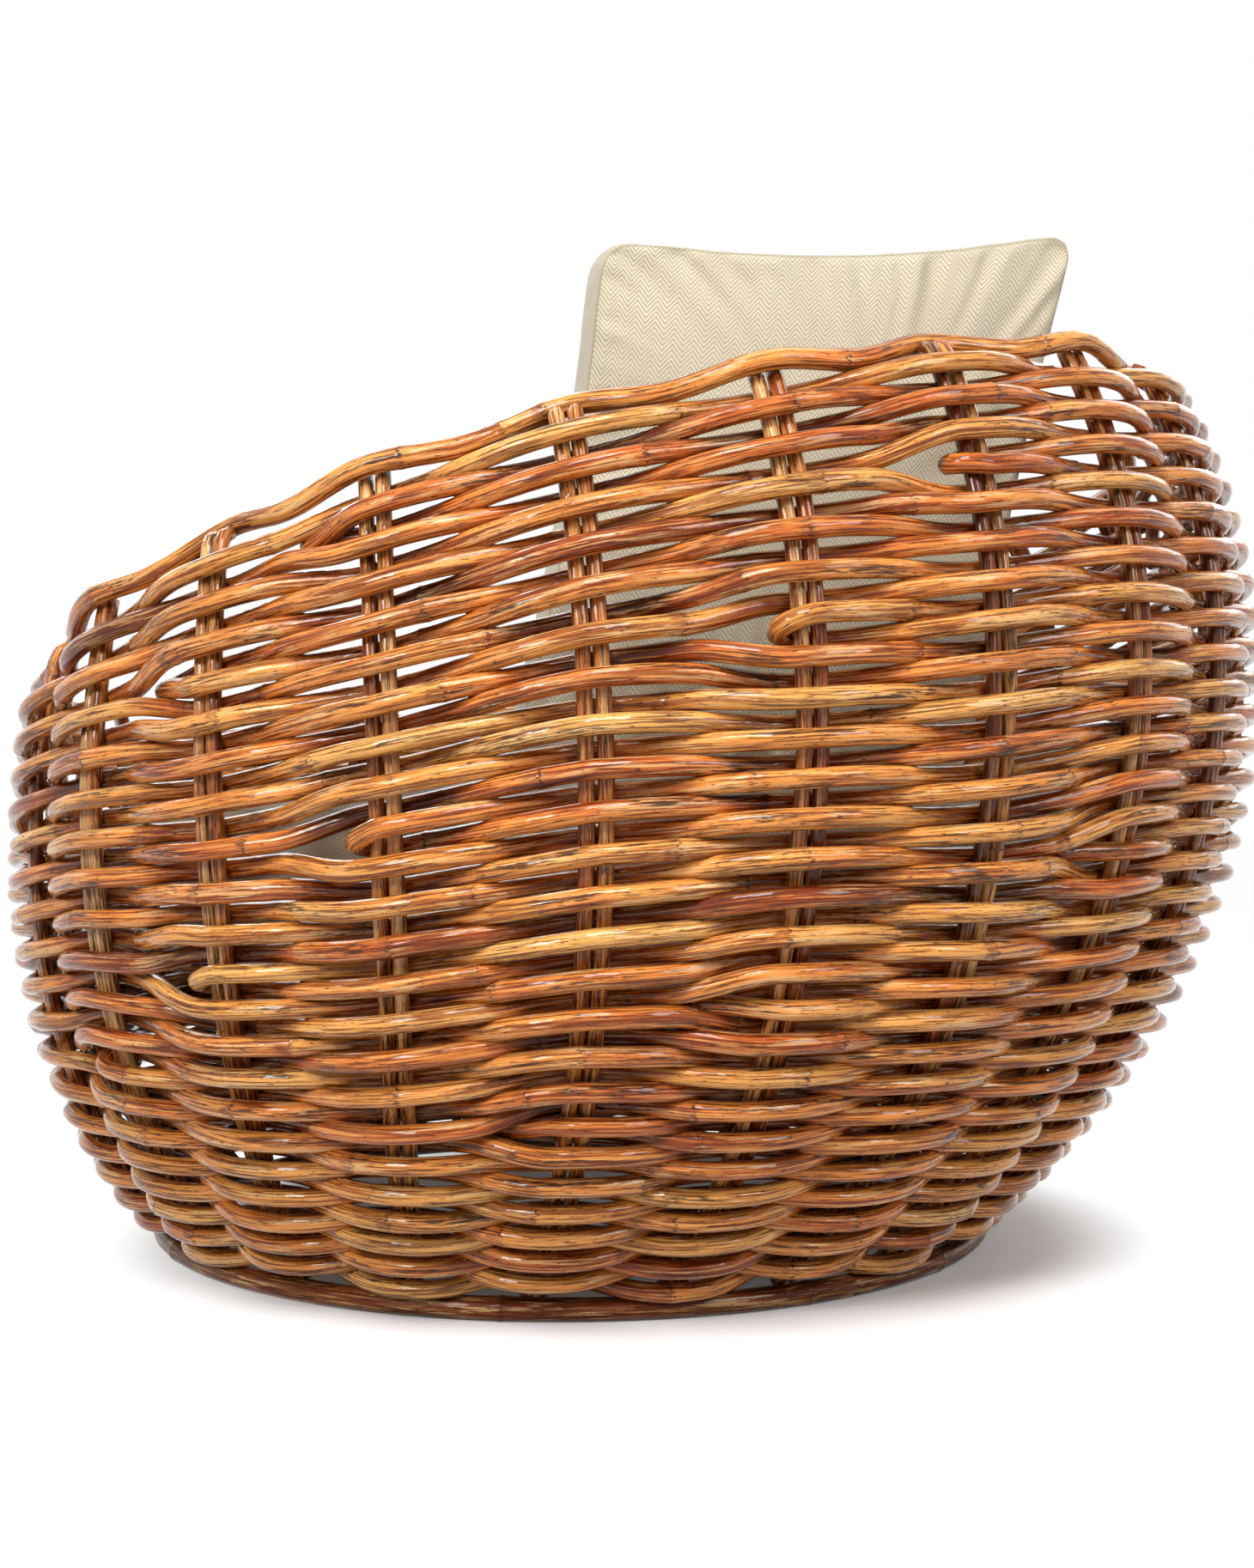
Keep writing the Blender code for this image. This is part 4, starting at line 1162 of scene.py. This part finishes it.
def puckers(inward, around, panel, seed):
    """Folds that run in from the seams, slanting, and die out over a few centimetres."""
    slanted = around - FOLD_SLANT * inward
    wide, narrow = (smooth_noise(seed + k, slanted / pitch) for k, pitch in enumerate(FOLD_PITCHES))
    folds = wide + 0.5 * narrow
    strength = 0.6 + 0.4 * np.clip(smooth_noise(seed + 2, around / 0.09), 0.0, 1.0)
    fade = np.exp(-inward / FOLD_REACH) * np.clip(inward / FLAT_AT_SEAM, 0.0, 1.0)
    return np.where(panel, FOLD_HEIGHT * folds * strength * fade, 0.0)


def round_corners(x, y, corner):
    """Unit square with its corners rounded; `corner` is their radius."""
    past_x = np.maximum(np.abs(x) - (1 - corner), 0.0) / corner
    past_y = np.maximum(np.abs(y) - (1 - corner), 0.0) / corner
    round_x = np.where(past_x > 0, 1 - corner + corner * past_x * np.sqrt(1 - past_y ** 2 / 2), np.abs(x))
    round_y = np.where(past_y > 0, 1 - corner + corner * past_y * np.sqrt(1 - past_x ** 2 / 2), np.abs(y))
    return np.sign(x) * round_x, np.sign(y) * round_y


def fit_to_node(piece, node_name):
    """Bring the filled cushion back to the size of its CAD node, because cloth gives where it likes."""
    low, high = (np.array(corner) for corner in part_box(node_name))
    points = read_points(piece.data)
    start, end = points.min(0), points.max(0)
    share = (points - start) / (end - start)
    write_points(piece.data, low + NODE_MARGIN + share * (high - low - 2 * NODE_MARGIN))
    print(piece.name, "scaled by", [round(float(v), 3) for v in (high - low) / (end - start)])


print("folds at the seams, mm high:", FOLD_HEIGHT * 1000)

# %% [markdown]
# Filling is one short simulation. The pressure inside swells the cover while the seams shrink. No point may
# move further than a given cap, so the cushion keeps the drawn shape and gains its fullness and its
# creases.

# %% Fill a box of cloth
FILL_FRAMES = 20


def fill_cushion(piece, pressure, shrink, cap, freedom):
    """Inflate by cloth simulation, limit how far any point moves, and keep the result."""
    before = read_points(piece.data)
    bpy.ops.object.select_all(action="DESELECT")
    piece.select_set(True)
    bpy.context.view_layer.objects.active = piece
    cloth = piece.modifiers.new("Cloth", "CLOTH")
    settings = cloth.settings
    settings.quality = 6
    settings.mass = 0.3
    settings.tension_stiffness = 20.0
    settings.compression_stiffness = 20.0
    settings.shear_stiffness = 8.0
    settings.bending_stiffness = 0.4
    settings.use_pressure = True
    settings.uniform_pressure_force = pressure
    settings.vertex_group_shrink = "seams"
    settings.shrink_min = -0.01
    settings.shrink_max = shrink
    settings.effector_weights.gravity = 0.0
    cloth.point_cache.frame_start = 1
    cloth.point_cache.frame_end = FILL_FRAMES
    for step in range(1, FILL_FRAMES + 1):
        bpy.context.scene.frame_set(step)
    filled = piece.evaluated_get(bpy.context.evaluated_depsgraph_get())
    after = read_points(filled.data)
    piece.modifiers.remove(cloth)
    bpy.context.scene.frame_set(1)
    move = after - before
    size = np.linalg.norm(move, axis=1)
    kept = cap * np.tanh(size / cap) / np.maximum(size, 1e-9) * freedom
    write_points(piece.data, before + move * kept[:, None])
    print(piece.name, "moved by at most, mm:", round(float(size.max()) * 1000, 1))


def finish_cushion(piece, node_name, body):
    """One level of subdivision, then the cushion stands for its CAD node."""
    bpy.ops.object.select_all(action="DESELECT")
    piece.select_set(True)
    bpy.context.view_layer.objects.active = piece
    smooth = piece.modifiers.new("Smooth", "SUBSURF")
    smooth.levels = 1
    smooth.render_levels = 1
    bpy.ops.object.modifier_apply(modifier="Smooth")
    piece.data.shade_smooth()
    piece.data.materials.clear()
    piece.data.materials.append(ivory_cotton)
    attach(piece, body)
    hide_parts(node_name)


print("frames of filling:", FILL_FRAMES)

# %% [markdown]
# The back cushion stands on the seat, turned towards the photographed side, and leans out over the rim. Its
# upper edge dips between two tucked corners and one side has sagged a little. It gets this shape by
# formula, as the pattern cutter draws it, with the folds at its seams, and the simulation then fills it.

# %% Back cushion
BACK_WIDTH = 0.412
BACK_HEIGHT = 0.470
BACK_GUSSET = 0.066
BACK_CROWN = 0.026
BACK_CORNER = 0.11
CORNER_TUCK = 0.030
GUSSET_BULGE = 0.012
SIDE_DIP = 0.045
TOP_DIP = 0.075
SIDE_SAG = 0.012
BACK_SHEAR = 0.15
BACK_TURN = math.radians(49.0)
BACK_LEAN = math.radians(8.0)

back, unit = box_of_cloth("back_cushion_cover", 62, 68)
x, z = round_corners(unit[:, 0], unit[:, 1], BACK_CORNER)
layer = unit[:, 2]
tuck = 1 - CORNER_TUCK * (x * z) ** 4
bulge = 1 + GUSSET_BULGE * np.sin(math.pi * layer)
across = BACK_WIDTH / 2 * x * (1 - SIDE_DIP * (1 - z * z)) * tuck * bulge
height = BACK_HEIGHT / 2 * z * (1 - TOP_DIP * (1 - x * x)) * tuck * bulge - SIDE_SAG * x * (1 + z) / 2
swell = (1 - x ** 4) * (1 - z ** 4)
inward, around, panel = lay_out_cloth(back, unit, unit[:, :2] * (BACK_WIDTH / 2, BACK_HEIGHT / 2),
                                      layer * BACK_GUSSET, 2 * (BACK_WIDTH + BACK_HEIGHT))
outward = 2 * layer - 1
through = outward * (BACK_GUSSET / 2 + BACK_CROWN * swell + puckers(inward, around, panel, 11))
write_points(back.data, np.stack([across - BACK_SHEAR * height, through, height], -1))
fill_cushion(back, pressure=4.0, shrink=0.03, cap=0.010, freedom=np.ones(len(unit)))
back.data.transform(Matrix.Rotation(-BACK_TURN, 4, "Z") @ Matrix.Rotation(-BACK_LEAN, 4, "X"))
fit_to_node(back, "back_cushion")
finish_cushion(back, "back_cushion", "back_cushion_body")
print("back cushion top, m:", round(max(v.co.z for v in back.data.vertices), 3))

# %% [markdown]
# The seat cushion is made the same way, from a grid whose square plan is rounded to a circle. It lies flat
# on the deck, so its underside isn't free to swell.

# %% Seat cushion
SEAT_THICKNESS = 0.146
SEAT_CROWN = 0.022
SEAT_SEAM_INSET = 0.012
SEAT_CLEARANCE = 0.003
SEAT_GUSSET = 0.120
SEAT_EDGE = 0.010
# The edges of the top and the underside round off outside these shares of the radius
TOP_EDGE_START = 0.88
BOTTOM_EDGE_START = 0.92

low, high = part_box("seat_cushion")
seam_radius = (high.x - low.x) / 2 - SEAT_SEAM_INSET - SEAT_CLEARANCE
seat, unit = box_of_cloth("seat_cushion_cover", 64, 64)
x, y, layer = unit.T
plan = np.stack([x * np.sqrt(1 - y * y / 2), y * np.sqrt(1 - x * x / 2)], -1)
inward, around, panel = lay_out_cloth(seat, unit, plan * seam_radius, layer * SEAT_GUSSET,
                                      2 * math.pi * seam_radius)
ring = np.hypot(plan[:, 0], plan[:, 1])
top_edge = np.clip((ring - TOP_EDGE_START) / (1 - TOP_EDGE_START), 0.0, 1.0) ** 2
bottom_edge = np.clip((ring - BOTTOM_EDGE_START) / (1 - BOTTOM_EDGE_START), 0.0, 1.0) ** 2
crowned = SEAT_THICKNESS - SEAT_CROWN * ring ** 2 - SEAT_EDGE * top_edge
folds = puckers(inward, around, panel, 23)
side = SEAT_EDGE + (SEAT_THICKNESS - SEAT_CROWN - 2 * SEAT_EDGE) * layer
top = layer > 0.999
bottom = layer < 0.001
height = np.select([top, bottom], [crowned + folds, SEAT_EDGE * bottom_edge], side)
radius = seam_radius + SEAT_SEAM_INSET * np.sin(math.pi * layer)
write_points(seat.data, np.stack([plan[:, 0] * radius, plan[:, 1] * radius, height], -1))
freedom = np.select([bottom, layer > 0.4], [0.0, 1.0], 0.5)
fill_cushion(seat, pressure=3.0, shrink=0.04, cap=0.006, freedom=freedom)
fit_to_node(seat, "seat_cushion")
finish_cushion(seat, "seat_cushion", "seat_cushion_body")
print("seat cushion top, m:", round(max(v.co.z for v in seat.data.vertices), 3))

# %% [markdown]
# ## Sizes and the end
#
# The dressed model has to keep the CAD model's size, so the box of what is shown is printed.

# %% Print the visual box
low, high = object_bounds()
print("visual box, m:", [round(v, 3) for v in low], [round(v, 3) for v in high])
